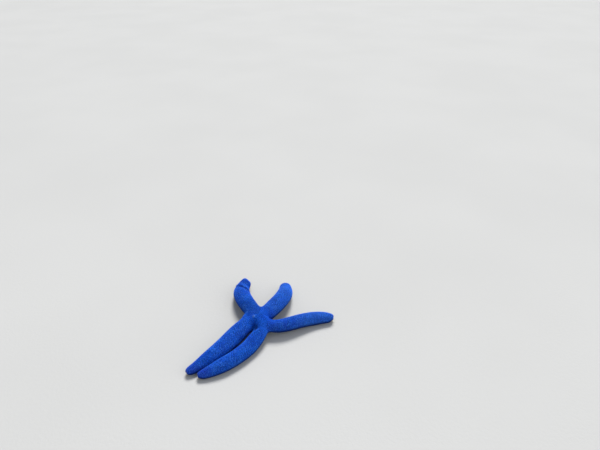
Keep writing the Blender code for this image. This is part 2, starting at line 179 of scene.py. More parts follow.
# The furrow under each arm, and the disc
FURROW_HALF = 0.0023
FURROW_DEPTH = 0.0032
FURROW_WALL = 0.72  # its half width part way up, as a share of the half width at the rim
FURROW_TIP = 0.60  # its size at the tip, as a share of its size at the root
FURROW_END = 0.985  # the share of the arm's length where its feet and spines end
FURROW_BARE = (1.12, 0.92)  # where its bare flesh ends and where it is full, in its half widths
PARTING_SHARE = 0.25  # neighbouring arms part within this share of their length
TOP_RING = 0.5  # the ring of points on top, as a share of the distance to the arms
TOP_CROWN = 0.0014
MOUTH_RADIUS = 0.0040
MOUTH_DEPTH = 0.0048
MOUTH_BARE = (1.2, 0.95)  # the same as the furrow's, in the mouth's radii
MOUTH_RIM = 0.0062  # the first tube feet are this far from the middle of the mouth
DISC_MARGIN = 0.0048  # how far outside the notches the arms' own granules start
SIEVE_PLACE = (-0.0093, -0.0012)  # middle of the sieve plate, from the disc's centre
SIEVE_RADIUS = 0.0020

# The cage
RING_POINTS = 16  # round an arm, from the top round its left side
SHARED_POINTS = slice(2, 6)  # those that it shares with the arm on its left
FURROW_POINTS = range(6, 11)
JAW_POINT = 11  # the lowest that it shares with the arm on its right
TOP_POINTS = (14, 15, 0, 1)
RING_SHARES = (0.0, 0.07, 0.17, 0.28, 0.39, 0.50, 0.61, 0.72, 0.82, 0.91)
CLOSING_SHARES = (0.960, 0.994)
PATH_STEPS = 120
SKIN_LEVELS = 3

# The skeleton's plates, whose rows show through the skin. Angles are from the top of the arm.
SIDE_ROWS = (-142, -126, -111, -96, 96, 111, 126, 142)
SIDE_START = 0.3  # of a plate's width, from the disc's centre to each row's first plate
SIDE_JITTER = 0.10  # of a plate's width
SIDE_CROWDING = 0.62  # the least gap between two plates' middles, as a share of their width
TOP_CROWDING = 0.78
TOP_TURN = -0.1  # the loose net of plates on top lies where the skin faces up by more than this
PLATE_SEED = 5
TONE_EDGE = 1.6  # how quickly a plate's own tone is reached from its edge
DISC_REACH = (0.008, 0.026)  # the disc is calmer than the arms: where that is full, and where it ends
DISC_CALM = 0.6  # the share of the plates' paleness that is gone there

# Where the tip of the back left arm turns up
FOLD = Crease(
    across=(-0.0350, -0.0288, -0.0258, -0.0230, -0.0200, -0.0173, -0.0152, -0.0128),
    along=(0.0785, 0.0742, 0.0708, 0.0690, 0.0634, 0.0610, 0.0574, 0.0540),
    depths=(0.3, 0.7, 0.9, 1.0, 1.0, 1.0, 0.7, 0.0),
    arms=("back_left",),
    width=0.0017,
    bank=0.80,
    bank_side=1.0,
    shade=1.0,
)
# Behind the shoulder of the front arm
SHOULDER = Crease(
    across=(-0.0210, -0.0160, -0.0116, -0.0070, -0.0030, 0.0022, 0.0059),
    along=(-0.0250, -0.0225, -0.0203, -0.0190, -0.0175, -0.0166, -0.0180),
    depths=(0.0, 1.0, 1.0, 0.9, 0.7, 0.45, 0.0),
    arms=tuple(ARMS),
    width=0.0021,
    bank=0.45,
    bank_side=-1.0,
    shade=0.5,
)
BANK_AWAY = 2.1  # distance of a bank's top from the middle of its crease, in the crease's widths
BANK_WIDTH = 1.2  # in the crease's widths
CREASED_TURNS = (-0.1, 0.5)  # how far up the skin faces where the creases start and where they are full
HOLLOW_PLACE = (-0.0084, -0.0150)  # where the valley between the two front arms ends, on the disc; it is also painted with shade
HOLLOW_REACH = 0.0042

# Painted light and shade on the arms: where an arm is painted paler or deeper, or its tip painted
# with a violet shade: the shares of its length where that starts and where it is full, and how far it goes
ARM_PAINTED_LIGHT_AND_SHADE = {
    "paler": {
        "right": (0.30, 0.62, 0.42),
        "back_right": (0.08, 0.26, 0.34),
        "front": (0.15, 0.35, 0.08),
    },
    "deeper": {"back_left": (0.55, 0.25, 0.34)},
    "tip": {"left": (0.70, 1.0, 1.0), "front": (0.70, 1.0, 1.0)},
}
# The skin's fields of painted light and shade, fold being the creases' painted shade: how far, and towards
# which colour
PAINTED_LIGHT_AND_SHADE = {"paler": (1.0, "speck"), "deeper": (1.0, "deep"), "tip": (0.55, "violet"), "fold": (0.8, "deep")}
SIDE_TURNS = (0.30, -0.42)  # painted shade of the lower sides: how far up the skin faces where it starts and where it is full
UNDER_TURNS = (-0.55, -0.92)  # the same for the pale blue of the underside
UNDER_WANDER = 0.1  # how far its edge wanders
VALLEY_END = 0.55  # the dark between two plates ends at this height of a plate, from 0 to 1
NOISE_ROUGHNESS = 0.55

# The granules
CANDIDATES = 12.0  # places tried for each square of their least gap
COAT_SEEN = 0.5  # the skin's coat field above which they grow
PORE_END = 0.22  # pores open below this height of a plate
GRANULE_CONE = {
    "Vertices": 5,
    "Side Segments": 1,
    "Fill Segments": 1,
    "Radius Top": 0.60,
    "Radius Bottom": 1.0,
    "Depth": 1.4,
}
GRANULE_HALVES = (0.40, 0.58)  # least and greatest radius, as shares of the breadth that is set
GRANULE_HEIGHTS = (0.75, 1.0)  # shares of the depth that is set
SIEVE_CLEAR = 1.04  # no granules within this many of the sieve plate's radii
FLOOR_GAP = 0.00002

# The map that they are baked on: each piece fills a square of its own
MAP_MARGIN = 0.02
MAP_ROUND = 0.46  # half the height that an arm's girth takes
MAP_DISC = (0.22, 0.44)  # half breadth and half height of one side of the disc
MAP_DISC_REACH = 0.03  # the distance from the disc's centre that fills them
MAP_GRANULE = 0.0015  # half breadth of a granule

# Tube feet and spines. A profile gives the thickness at places along the stalk; its first two are the ends.
FOOT_ENDS = ((0.0, 0.575), (1.0, 0.61))
FOOT_PROFILE = (*FOOT_ENDS, (0.12, 0.5), (0.5, 0.43), (0.78, 0.36), (0.86, 0.40), (0.92, 0.675))
FOOT_SHAPE = {"Sides": 8, "Rings": 9, "Cup": 0.06}
CUP_HALF = 0.01  # so near its axis that only the middle point of an end is drawn in for the cup
FOOT_CLEAR = 1.7  # stem radii left between a sucker and the floor
FOOT_STEEP = 0.2  # the least slope that is reckoned with there
FOOT_LEAN_IN = -0.1  # least lean to the side, as a slope
FOOT_HANG = (0.45, 1.0)  # how far it hangs out of the furrow, as shares of the reach that is set
FOOT_GIRTHS = (0.9, 1.1)  # shares of the radius that is set
FOOT_BEND = 0.16  # of its length, along the arm
FOOT_SWAY = 0.6  # how far it is bent to a side, as a share of that
SPINE_PROFILE = ((0.0, 1.0), (1.0, 0.18), (0.45, 1.0), (0.75, 0.82), (0.93, 0.50))
SPINE_SHAPE = {"Sides": 5, "Rings": 4, "Cup": 0.0}
SPINE_OUT, KNOB_OUT = 1.10, 1.55  # distances from the middle of the furrow, in its half widths
SPINE_INWARD, KNOB_INWARD = 1.0, 0.3  # how far they lean over the furrow
SPINE_RAISED = (0.0004, 0.0022)  # height of a root where a spine lies flat, and where it hangs down
SPINE_STRAIGHT = 0.6  # the share of the lean over the furrow that is gone where it hangs down
SPINE_DOWN, SPINE_DROOP = 0.9, 0.02  # how far it points down there, and everywhere
SPINE_LEAN = (-0.16, 0.30)  # along the arm, as a slope
SPINE_LENGTHS = (0.85, 1.1)  # shares of the length that is set
SPINE_CLEAR, SPINE_LEAST = 0.00015, 0.0002  # its gap to the floor, and its least height over it
SPINE_BEND = 0.3  # of its lean and length
SPACING_FIXED = 0.35  # the share of the spacing that doesn't follow the furrow's size
BELOW_FURROW = 0.002  # rays to the skin start this far below an arm
JAW_SHARE = 0.12  # the share of the arms' length where the directions between them are taken
JAW_RINGS = ((1.02, 4), (1.22, 5))  # distance from the mouth's middle in its radii, and spines on each jaw
JAW_SPACING = 0.0006  # between two spines of a ring
JAW_SPREAD = 120.0  # how far the spines on a jaw fan out, as a slope for each metre
JAW_INWARD = 0.9  # how far they lean over the mouth
JAW_REACH, JAW_GIRTH = 1.3, 1.2  # of the length and radius that are set

# The sieve plate and the tip plates
ABOVE = 0.1  # high enough to look down on the whole animal
SIEVE_RINGS, SIEVE_ROUND = 26, 96  # rings of points, and points on each
SIEVE_SPOTS = 16  # places round it where the skin's slope is taken
SIEVE_LOBES, SIEVE_LOBE_RISE, SIEVE_LOBE_TURN = 3.0, 0.04, 0.6  # its outline isn't quite round
SIEVE_WARPS = ((0.3, 1400.0, 1.9), (9.0, 3500.0, 0.6))  # level in the noise, scale and strength
SIEVE_WARP_TURN = 2.2  # how far the warp turns the grooves
SIEVE_FORK = (0.42, 0.62)  # shares of the radius where each groove becomes two
SIEVE_RIDGE = (-0.75, 0.35)  # the wave's values at the foot and the top of a ridge
SIEVE_HEART = (0.04, 0.16)  # shares of the radius where the ridges start and are full
SIEVE_RIM = (1.0, 0.9)  # the same for the grooves' depth, from the edge
SIEVE_DOME = 2.6  # how square its dome is
SIEVE_SKIRT = 0.0006  # how far its side reaches down
SIEVE_TILT_ROOM = 0.3  # of the radius, by which its tilt lowers the crown
TIP_AT = 0.99  # the share of the arm's length where a tip plate takes its direction
TIP_FROM = 0.96  # the share from which it is set out
TIP_LIFT = 0.35  # its slope above the arm's own direction
TIP_AWAY = 0.03  # far enough out to look back at the tip
# Shares of a tip plate's half length, but for the notch's depth, which is a share of its rise
TIP_BREADTH = 0.78
TIP_NOTCH = 0.30
TIP_NOTCH_HALF = 0.22
TIP_NOTCH_REACH = (0.1, -0.7)  # where it starts and where it is full, down from the middle
TIP_SPOT_ALONG = (-0.55, -0.85)  # the same for the eyespot
TIP_SPOT_ACROSS = (0.45, 0.2)  # the same, in from the sides

# The stage, as the photograph was taken
CAMERA_PLACE = (0.0, -0.47762, 0.45923)  # from the disc's centre, and above the floor
CAMERA_RIGHT = (0.99409, -0.10859, 0.0)
CAMERA_UP = (0.05732, 0.52472, 0.84934)
CLIPS = (0.01, 60.0)  # nearest and furthest that the camera sees
SENSOR = 36.0  # millimetres
PICTURE_WIDTH = 600
FOCAL_PIXELS = 480
# Each light: where it comes from, its breadth in degrees and its tint
LIGHTS = {
    "key": ((0.20, 0.74, 1.0), 24.0, (1.0, 0.985, 0.96)),
    "fill": ((0.72, -0.42, 0.36), 60.0, (0.93, 0.96, 1.0)),
}
SKY_TINT = (0.86, 0.91, 1.0)

CENTRE = sum(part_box("sieve_plate"), Vector()) / 2.0 - Vector((*SIEVE_PLACE, 0.0))
CENTRE.z = 0.0
FLAT_CENTRE = np.array(CENTRE)[:2]


def curve(stations, values, shares, level=True):
    """Smooth curve through the values. Where level is set it never overshoots them."""
    stations = np.asarray(stations, float)
    values = np.asarray(values, float)
    steps = np.diff(stations)
    rises = np.diff(values) / steps
    slopes = np.concatenate([rises[:1], (rises[1:] + rises[:-1]) / 2.0, rises[-1:]])
    if level:
        for i in range(1, len(values) - 1):
            before, after = rises[i - 1], rises[i]
            slopes[i] = 2.0 * before * after / (before + after) if before * after > 0.0 else 0.0
    span = np.clip(np.searchsorted(stations, shares) - 1, 0, len(steps) - 1)
    u = (shares - stations[span]) / steps[span]
    start = values[span] * (1.0 + 2.0 * u) * (1.0 - u) ** 2
    start += slopes[span] * steps[span] * u * (1.0 - u) ** 2
    end = values[span + 1] * u**2 * (3.0 - 2.0 * u) + slopes[span + 1] * steps[span] * u**2 * (u - 1.0)
    return start + end


def smooth_step(values, low, high):
    """0 below low, 1 above high and an easy rise between, also where high is the lower one."""
    t = np.clip((np.asarray(values, float) - low) / (high - low), 0.0, 1.0)
    return t * t * (3.0 - 2.0 * t)


def eased(value, low, high):
    return float(smooth_step(value, low, high))


class MiddleLine:
    """The middle line of one arm, with its frame and its half breadth at any share of its length."""

    def __init__(self, arm):
        shares = np.linspace(0.0, 1.0, PATH_STEPS + 1)
        even = np.linspace(0.0, 1.0, len(arm.headings))
        angles = np.radians(curve(even, arm.headings, shares, level=False))
        middles = (angles[1:] + angles[:-1]) / 2.0
        step = arm.length / PATH_STEPS
        halves = curve((*BREADTH_STATIONS, 1.0), (*arm.breadths, arm.breadths[-1]), shares) * MILLIMETRE / 2.0
        self.length = arm.length
        self.shares = shares
        self.angles = angles
        self.halves = halves
        self.x = CENTRE.x + np.concatenate([[0.0], np.cumsum(np.cos(middles) * step)])
        self.y = CENTRE.y + np.concatenate([[0.0], np.cumsum(np.sin(middles) * step)])
        self.z = curve(LIFT_STATIONS, arm.lifts, shares) * MILLIMETRE + DEPTH * halves

    def at(self, share, values):
        return float(np.interp(share, self.shares, values))

    def point(self, share):
        return Vector([self.at(share, values) for values in (self.x, self.y, self.z)])

    def half(self, share):
        return self.at(share, self.halves)

    def side(self, share):
        """Unit vector to the arm's left."""
        angle = self.at(share, self.angles)
        return Vector((-math.sin(angle), math.cos(angle), 0.0))

    def ahead(self, share):
        """Unit vector along the arm, towards its tip."""
        nudge = 1.0 / PATH_STEPS
        return (self.point(min(share + nudge, 1.0)) - self.point(max(share - nudge, 0.0))).normalized()

    def up(self, share):
        return self.ahead(share).cross(self.side(share))

    def furrow(self, share):
        """Size of the furrow there, against its size at the root."""
        return 1.0 + (FURROW_TIP - 1.0) * share

    def places(self, points):
        """For each point: its distance from the line, its share of the length, and its left and up."""
        middle = np.stack([self.x, self.y, self.z], axis=1)
        ahead = np.gradient(middle, axis=0)
        ahead /= np.linalg.norm(ahead, axis=1)[:, None]
        side = np.stack([-np.sin(self.angles), np.cos(self.angles), np.zeros(len(middle))], axis=1)
        up = np.cross(ahead, side)
        squares = (points**2).sum(axis=1)[:, None] + (middle**2).sum(axis=1) - 2.0 * points @ middle.T
        nearest = np.argmin(squares, axis=1)
        offset = points - middle[nearest]
        share = self.shares[nearest] + (offset * ahead[nearest]).sum(axis=1) / self.length
        left = (offset * side[nearest]).sum(axis=1)
        return np.linalg.norm(offset, axis=1), share, left, (offset * up[nearest]).sum(axis=1)


def section(half, furrow):
    """The points of the cage round an arm, from the top round its left side, as (left, up)."""
    rise, depth, side = RISE * half * SMOOTHING, DEPTH * half, half * SMOOTHING
    floor = -depth - BED
    left = [
        (side * math.cos(math.radians(angle)), rise * math.sin(math.radians(angle)))
        for angle in (60.0, 30.0, 0.0)
    ]
    left.append((side * SIDE_TUCK, -depth * SIDE_DROP))
    left.append((half * FLAT_OUT, floor))
    left.append((FURROW_HALF * furrow, floor))
    left.append((FURROW_HALF * FURROW_WALL * furrow, -depth + FURROW_DEPTH * furrow / 2.0))
    right = [(-across, height) for across, height in reversed(left)]
    return [(0.0, rise), *left, (0.0, -depth + FURROW_DEPTH * furrow), *right]


def parting(line, neighbour):
    """Where the left side of one arm leaves the right side of the next: its two shares and its place."""
    def edge(arm_line, sign):
        normals = np.stack([-np.sin(arm_line.angles), np.cos(arm_line.angles)], axis=1)
        middle = np.stack([arm_line.x, arm_line.y], axis=1)
        return middle + sign * normals * arm_line.halves[:, None]

    near = line.shares <= PARTING_SHARE
    left, right = edge(line, 1.0)[near], edge(neighbour, -1.0)[near]
    gaps = np.linalg.norm(left[:, None, :] - right[None, :, :], axis=2)
    i, j = np.unravel_index(np.argmin(gaps), gaps.shape)
    place = (left[i] + right[j]) / 2.0
    return line.shares[i], neighbour.shares[j], Vector((*place, 0.0))


class Cage:
    """The coarse cage of the whole animal, which the subdivision rounds."""

    def __init__(self, lines):
        self.lines = lines
        self.webs = [arm.web for arm in ARMS.values()]
        self.rims = [arm.rim for arm in ARMS.values()]
        self.blunts = [arm.blunt for arm in ARMS.values()]
        self.mesh = bmesh.new()
        count = len(lines)
        self.notches = [parting(lines[i], lines[(i + 1) % count]) for i in range(count)]
        self.columns = [self.column(i) for i in range(count)]
        self.rings = [self.arm_rings(i) for i in range(count)]
        for rings in self.rings:
            self.skin_arm(rings)
        self.skin_top()
        self.skin_underside()
        bmesh.ops.recalc_face_normals(self.mesh, faces=self.mesh.faces)

    def vertex(self, place):
        return self.mesh.verts.new(place)

    def column(self, i):
        """The four points that two neighbouring arms share in the notch between them, top first."""
        line, neighbour = self.lines[i], self.lines[(i + 1) % len(self.lines)]
        share, next_share, place = self.notches[i]
        half = (line.half(share) + neighbour.half(next_share)) / 2.0
        height = (line.point(share).z + neighbour.point(next_share).z) / 2.0
        points = section(half, 1.0)[SHARED_POINTS]
        widest = points[1][0]
        pulled = [CENTRE + (place - CENTRE) * (self.webs[i] * across / widest) for across, _ in points]
        rims = (self.rims[i] * MILLIMETRE, 0.0, 0.0, 0.0)
        ups = [height + up + rim for (_, up), rim in zip(points, rims)]
        return [self.vertex((spot.x, spot.y, up)) for spot, up in zip(pulled, ups)]

    def root_share(self, i, across):
        """Where the arm's first ring lies, for a point that far to the left, from -1 to 1."""
        left = self.notches[i][0]
        right = self.notches[i - 1][1]
        middle = (left + right) / 2.0
        return middle + abs(across) * ((left if across > 0.0 else right) - middle)

    def ring_point(self, i, k, ring_share, breadth=1.0):
        line = self.lines[i]
        across = section(1.0, FURROW_HALF)[k][0]
        root = self.root_share(i, max(-1.0, min(1.0, across)))
        share = root + (1.0 - root) * ring_share
        left, up = section(line.half(share), line.furrow(share))[k]
        return line.point(share) + line.side(share) * (left * breadth) + line.up(share) * (up * breadth)

    def arm_rings(self, i):
        left, right = self.columns[i], self.columns[i - 1]
        own = {k: self.vertex(self.ring_point(i, k, 0.0)) for k in (0, 1, *FURROW_POINTS, 15)}
        first = [own[0], own[1], *left, *(own[k] for k in FURROW_POINTS), *reversed(right), own[15]]
        open_rings = [(ring_share, 1.0) for ring_share in RING_SHARES[1:]]
        rings = [first]
        for ring_share, breadth in (*open_rings, *zip(CLOSING_SHARES, self.blunts[i])):
            places = [self.ring_point(i, k, ring_share, breadth) for k in range(RING_POINTS)]
            rings.append([self.vertex(place) for place in places])
        return rings

    def skin_arm(self, rings):
        for inner, outer in zip(rings, rings[1:]):
            for k in range(RING_POINTS):
                after = (k + 1) % RING_POINTS
                self.mesh.faces.new((inner[k], inner[after], outer[after], outer[k]))
        self.mesh.faces.new(rings[-1])

    def close_ring(self, outer, inner, centre):
        """Faces between two rings of points, and from the inner one to a point in the middle."""
        count = len(outer)
        for k in range(count):
            after = (k + 1) % count
            self.mesh.faces.new((outer[k], outer[after], inner[after], inner[k]))
        middle = self.vertex(centre)
        for k in range(0, count, 2):
            self.mesh.faces.new((inner[k], inner[k + 1], inner[(k + 2) % count], middle))

    def skin_top(self):
        outer = [rings[0][k] for rings in self.rings for k in TOP_POINTS]
        top = max(vertex.co.z for vertex in outer) + TOP_CROWN
        centre = CENTRE + Vector((0.0, 0.0, top))
        inner = [self.vertex(centre.lerp(vertex.co, TOP_RING)) for vertex in outer]
        for vertex in inner:
            vertex.co.z = top + (vertex.co.z - top) * TOP_RING
        self.close_ring(outer, inner, centre)

    def skin_underside(self):
        """The underside of the disc, where the furrows meet in the mouth."""
        outer, inner = [], []
        for i, rings in enumerate(self.rings):
            line = self.lines[i]
            root = line.point(self.root_share(i, 0.0)) - CENTRE
            out = Vector((root.x, root.y, 0.0)).normalized()
            side = Vector((-out.y, out.x, 0.0))
            under = line.point(0.0).z - DEPTH * line.half(0.0)
            corner = rings[0][JAW_POINT].co - CENTRE
            jaw = Vector((corner.x, corner.y, 0.0)).normalized() * MOUTH_RADIUS
            outer.append(rings[0][JAW_POINT])
            inner.append(self.vertex(CENTRE + Vector((jaw.x, jaw.y, under))))
            for k in reversed(FURROW_POINTS):
                across, up = section(line.half(0.0), 1.0)[k]
                place = out * MOUTH_RADIUS + side * across * FURROW_WALL
                outer.append(rings[0][k])
                inner.append(self.vertex(CENTRE + Vector((place.x, place.y, line.point(0.0).z + up))))
        roof = self.lines[0].point(0.0).z - DEPTH * self.lines[0].half(0.0) + MOUTH_DEPTH
        self.close_ring(outer, inner, CENTRE + Vector((0.0, 0.0, roof)))


LINES = {name: MiddleLine(arm) for name, arm in ARMS.items()}
DISC_PART = 2 * len(LINES)  # the number of the disc's own granules; those of the arms come before it


def added(name, data):
    """A new object in the scene."""
    obj = bpy.data.objects.new(name, data)
    bpy.context.scene.collection.objects.link(obj)
    return obj


def evaluated_mesh(obj):
    return bpy.data.meshes.new_from_object(obj.evaluated_get(bpy.context.evaluated_depsgraph_get()))


def made_piece(name):
    """A piece that an earlier operator has made."""
    if name not in bpy.data.objects:
        raise RuntimeError(f"make the piece {name} first")
    return bpy.data.objects[name]


def skin_surface():
    mesh = made_piece("skin").data
    return BVHTree.FromPolygons([v.co for v in mesh.vertices], [p.vertices for p in mesh.polygons])


def finish_piece(piece, slot, *replaced):
    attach(piece, "root")
    if replaced:
        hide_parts(*replaced)


class Nodes:
    """Adds nodes to a tree, with their settings, and their inputs as values or links."""

    def __init__(self, tree):
        self.tree = tree

    def feed(self, node, inputs):
        for key, value in inputs.items():
            if isinstance(value, bpy.types.NodeSocket):
                self.tree.links.new(value, node.inputs[key])
            else:
                node.inputs[key].default_value = value

    def add(self, kind, inputs=None, **settings):
        node = self.tree.nodes.new(kind)
        for name, value in settings.items():
            setattr(node, name, value)
        self.feed(node, inputs or {})
        return node

    def made(self, kind, inputs=None, **settings):
        """The first output of a new node."""
        return self.add(kind, inputs, **settings).outputs[0]

    def maths(self, operation, *values):
        return self.made("ShaderNodeMath", dict(enumerate(values)), operation=operation)


# Materials


class Paint(Nodes):
    """The node tree of a material that reads Object coordinates and the piece's own attributes."""

    def __init__(self, name):
        self.material = bpy.data.materials.new(name)
        self.material.use_nodes = True
        super().__init__(self.material.node_tree)
        self.shader = self.tree.nodes["Principled BSDF"]
        self.place = self.add("ShaderNodeTexCoord").outputs["Object"]

    def attribute(self, name):
        return self.add("ShaderNodeAttribute", attribute_name=name).outputs["Fac"]

    def noise(self, scale, detail=3.0):
        values = {"Vector": self.place, "Scale": scale, "Detail": detail, "Roughness": NOISE_ROUGHNESS}
        return self.add("ShaderNodeTexNoise", values).outputs["Fac"]

    def ranged(self, value, low, high, new_low=0.0, new_high=1.0):
        values = {"Value": value, "From Min": low, "From Max": high, "To Min": new_low, "To Max": new_high}
        return self.made("ShaderNodeMapRange", values, interpolation_type="SMOOTHSTEP")

    def mottle(self, scale, low, high, detail=3.0, least=0.0, most=1.0):
        """Noise, spread from least to most between two of its values."""
        return self.ranged(self.noise(scale, detail), low, high, least, most)

    def mixed(self, share, first, second, blend="MIX"):
        """A colour between two, each a socket or three numbers."""
        values = {"Factor": share}
        for key, colour in ((6, first), (7, second)):
            values[key] = colour if isinstance(colour, bpy.types.NodeSocket) else (*colour, 1.0)
        return self.add("ShaderNodeMix", values, data_type="RGBA", blend_type=blend).outputs[2]

    def shaded(self, colour, shade):
        """The colour times a grey."""
        grey = self.made("ShaderNodeCombineColor", {0: shade, 1: shade, 2: shade})
        return self.mixed(1.0, colour, grey, "MULTIPLY")

    def finished(self, colour, roughness, gloss, grain=None):
        """The material with its shader set. The grain is the scale, the detail and the height of a bump."""
        values = {"Base Color": colour, "Roughness": roughness, "Specular IOR Level": gloss}
        if grain:
            scale, detail, height = grain
            bump = {"Height": self.noise(scale, detail), "Distance": height, "Strength": 1.0}
            values["Normal"] = self.made("ShaderNodeBump", bump)
        self.feed(self.shader, values)
        return self.material


def body_colour(paint, look):
    """The colours that the skin and its granules share: vivid above, painted shade on the lower sides, pale
    below, and painted light and shade on some arms, tips and creases.
    """
    blotches = paint.mottle(75.0, 0.36, 0.66, detail=4.0)
    colour = paint.mixed(blotches, look.vivid, look.bright)
    cast = paint.mottle(32.0, 0.42, 0.68, detail=2.0, most=0.45)
    colour = paint.mixed(cast, colour, look.violet)
    pale = paint.ranged(paint.attribute("tone"), 0.30, 0.95, 0.0, 0.58)
    colour = paint.mixed(pale, colour, look.speck)
    # Painted light on the paler arms; painted shade on the back left arm's root, the front tips and the
    # creases
    for name, (most, towards) in PAINTED_LIGHT_AND_SHADE.items():
        share = paint.ranged(paint.attribute(name), 0.0, 1.0, 0.0, most)
        colour = paint.mixed(share, colour, getattr(look, towards))
    turn = paint.attribute("turn")
    # Painted shade: the lower sides turn deep blue as the skin faces down
    colour = paint.mixed(paint.ranged(turn, *SIDE_TURNS), colour, look.deep)
    ragged = paint.maths("ADD", turn, paint.ranged(blotches, 0.0, 1.0, -UNDER_WANDER, UNDER_WANDER))
    return paint.mixed(paint.ranged(ragged, *UNDER_TURNS), colour, look.pale)


def skin_paint(look):
    paint = Paint("skin_between_granules")
    # Painted shade in the gaps between the granules; it is darkest between plates
    shade = paint.ranged(paint.attribute("plate"), 0.0, VALLEY_END, 0.20, 0.46)
    flesh = paint.mixed(paint.noise(500.0), look.furrow, look.furrow_dark)
    colour = paint.mixed(paint.attribute("bare"), paint.shaded(body_colour(paint, look), shade), flesh)
    return paint.finished(colour, roughness=0.72, gloss=0.06, grain=(1800.0, 3.0, 0.00012))


def granule_paint(look):
    paint = Paint("granules")
    speck = paint.attribute("speck")
    colour = paint.shaded(body_colour(paint, look), paint.ranged(speck, 0.0, 1.0, 0.86, 1.16))
    colour = paint.mixed(paint.ranged(speck, 0.93, 0.99, 0.0, 0.34), colour, look.speck)
    valley = paint.ranged(paint.attribute("plate"), 0.05, VALLEY_END, 0.60, 0.0)
    colour = paint.mixed(valley, colour, look.deep)
    roughness = paint.mottle(900.0, 0.3, 0.7, detail=2.0, least=0.46, most=0.62)
    return paint.finished(colour, roughness, gloss=0.10)


def flesh_paint(name, colour, tip, look):
    """Soft pale flesh that darkens towards its free end."""
    paint = Paint(name)
    shade = paint.mixed(paint.ranged(paint.attribute("along"), 0.45, 1.0), colour, tip)
    shade = paint.mixed(paint.mottle(900.0, 0.4, 0.7, most=0.35), shade, look.furrow_dark)
    return paint.finished(shade, roughness=0.38, gloss=0.5, grain=(2600.0, 2.0, 0.00006))


def sieve_paint(look):
    paint = Paint("sieve_plate_grooves")
    ridges = paint.mixed(paint.noise(700.0), look.sieve, look.sieve_pale)
    # Painted shade: the grooves between the ridges take the deep blue
    colour = paint.mixed(paint.ranged(paint.attribute("ridge"), 0.1, 0.75), look.deep, ridges)
    return paint.finished(colour, roughness=0.7, gloss=0.3, grain=(3000.0, 2.0, 0.00005))


def tip_paint(look):
    paint = Paint("tip_plates")
    colour = paint.mixed(paint.mottle(800.0, 0.35, 0.65), look.deep, look.violet)
    colour = paint.mixed(paint.attribute("spot"), colour, look.eyespot)
    return paint.finished(colour, roughness=0.4, gloss=0.5, grain=(2400.0, 2.0, 0.00006))


def floor_paint(stage):
    paint = Paint("plain_floor")
    colour = paint.shaded(stage.floor, paint.mottle(3.0, 0.3, 0.7, detail=2.0, least=0.97))
    return paint.finished(colour, roughness=0.85, gloss=0.2, grain=(260.0, 4.0, 0.0002))


# The skin


def plate_middles(points, turns, width):
    """Middles of the skeleton's plates: even rows along the arms' sides, and a loose net over the top."""
    draw = random.Random(PLATE_SEED)
    rows = []
    for line in LINES.values():
        count = int(line.length / width)
        for row, angle in enumerate(SIDE_ROWS):
            turn = math.radians(angle)
            for station in range(count):
                shift = 0.5 * (row % 2)  # every other row is half a plate on
                share = (station + shift + SIDE_JITTER * draw.uniform(-1.0, 1.0) + SIDE_START) / count
                half = line.half(share)
                left, up = half * math.sin(turn), half * DEPTH * math.cos(turn)
                rows.append(line.point(share) + line.side(share) * left + line.up(share) * up)
    net = list(points[turns > TOP_TURN])
    draw.shuffle(net)
    kept = np.zeros((len(rows) + len(net), 3))
    count = 0
    for places, crowding in ((rows, SIDE_CROWDING), (net, TOP_CROWDING)):
        least = (width * crowding) ** 2
        for place in places:
            if count == 0 or ((kept[:count] - place) ** 2).sum(axis=1).min() > least:
                kept[count] = place
                count += 1
    return kept[:count]


def plate_relief(points, turns, width):
    """For each point: 1 over the middle of a plate and 0 where two meet, and the plate's own tone."""
    middles = plate_middles(points, turns, width)
    draw = random.Random(PLATE_SEED)
    tones = [draw.random() for _ in middles]
    tree = KDTree(len(middles))
    for i, middle in enumerate(middles):
        tree.insert(middle, i)
    tree.balance()
    relief, tone = np.zeros(len(points)), np.zeros(len(points))
    for i, point in enumerate(points):
        (_, plate, nearest), (_, _, second) = tree.find_n(point, 2)
        relief[i] = 1.0 - (nearest / second) ** 2
        tone[i] = tones[plate] * min(1.0, relief[i] * TONE_EDGE)
    return relief, tone


def skin_relief(flat, turns, arm, plate, bare, look):
    """How far each point of the skin is raised, and the painted shade of the creases and the hollow there."""
    rise = (plate - 0.5) * look.plate_rise * (1.0 - bare)
    painted_shade = np.zeros(len(flat))
    on_top = smooth_step(turns, *CREASED_TURNS)
    for crease, depth in ((FOLD, look.fold), (SHOULDER, look.shoulder)):
        distance = crease.bank_side * (flat[:, 1] - np.interp(flat[:, 0], crease.across, crease.along))
        groove = np.exp(-((distance / crease.width) ** 2))
        bank = np.exp(-(((distance - BANK_AWAY * crease.width) / (BANK_WIDTH * crease.width)) ** 2))
        on_arms = on_top * np.isin(arm, [ARM_NAMES.index(name) for name in crease.arms])
        depths = on_arms * np.interp(flat[:, 0], crease.across, crease.depths)
        rise += depths * depth * (crease.bank * bank - groove)
        # Painted shade on the crease's floor
        painted_shade = np.maximum(painted_shade, crease.shade * depths * groove)
    from_hollow = np.linalg.norm(flat - np.array(HOLLOW_PLACE), axis=1)
    hollow = on_top * np.exp(-((from_hollow / HOLLOW_REACH) ** 2))
    # The hollow is sunk and painted with shade as well
    return rise - look.hollow * hollow, np.maximum(painted_shade, hollow)


def arm_painted_light_and_shade(arm, share):
    """How far each arm's painted light and shade goes at each point."""
    painted_amounts = {}
    for tint, places in ARM_PAINTED_LIGHT_AND_SHADE.items():
        painted_amounts[tint] = np.zeros(len(share))
        for name, (start, full, amount) in places.items():
            painted_amounts[tint] += (arm == ARM_NAMES.index(name)) * smooth_step(share, start, full) * amount
    return painted_amounts


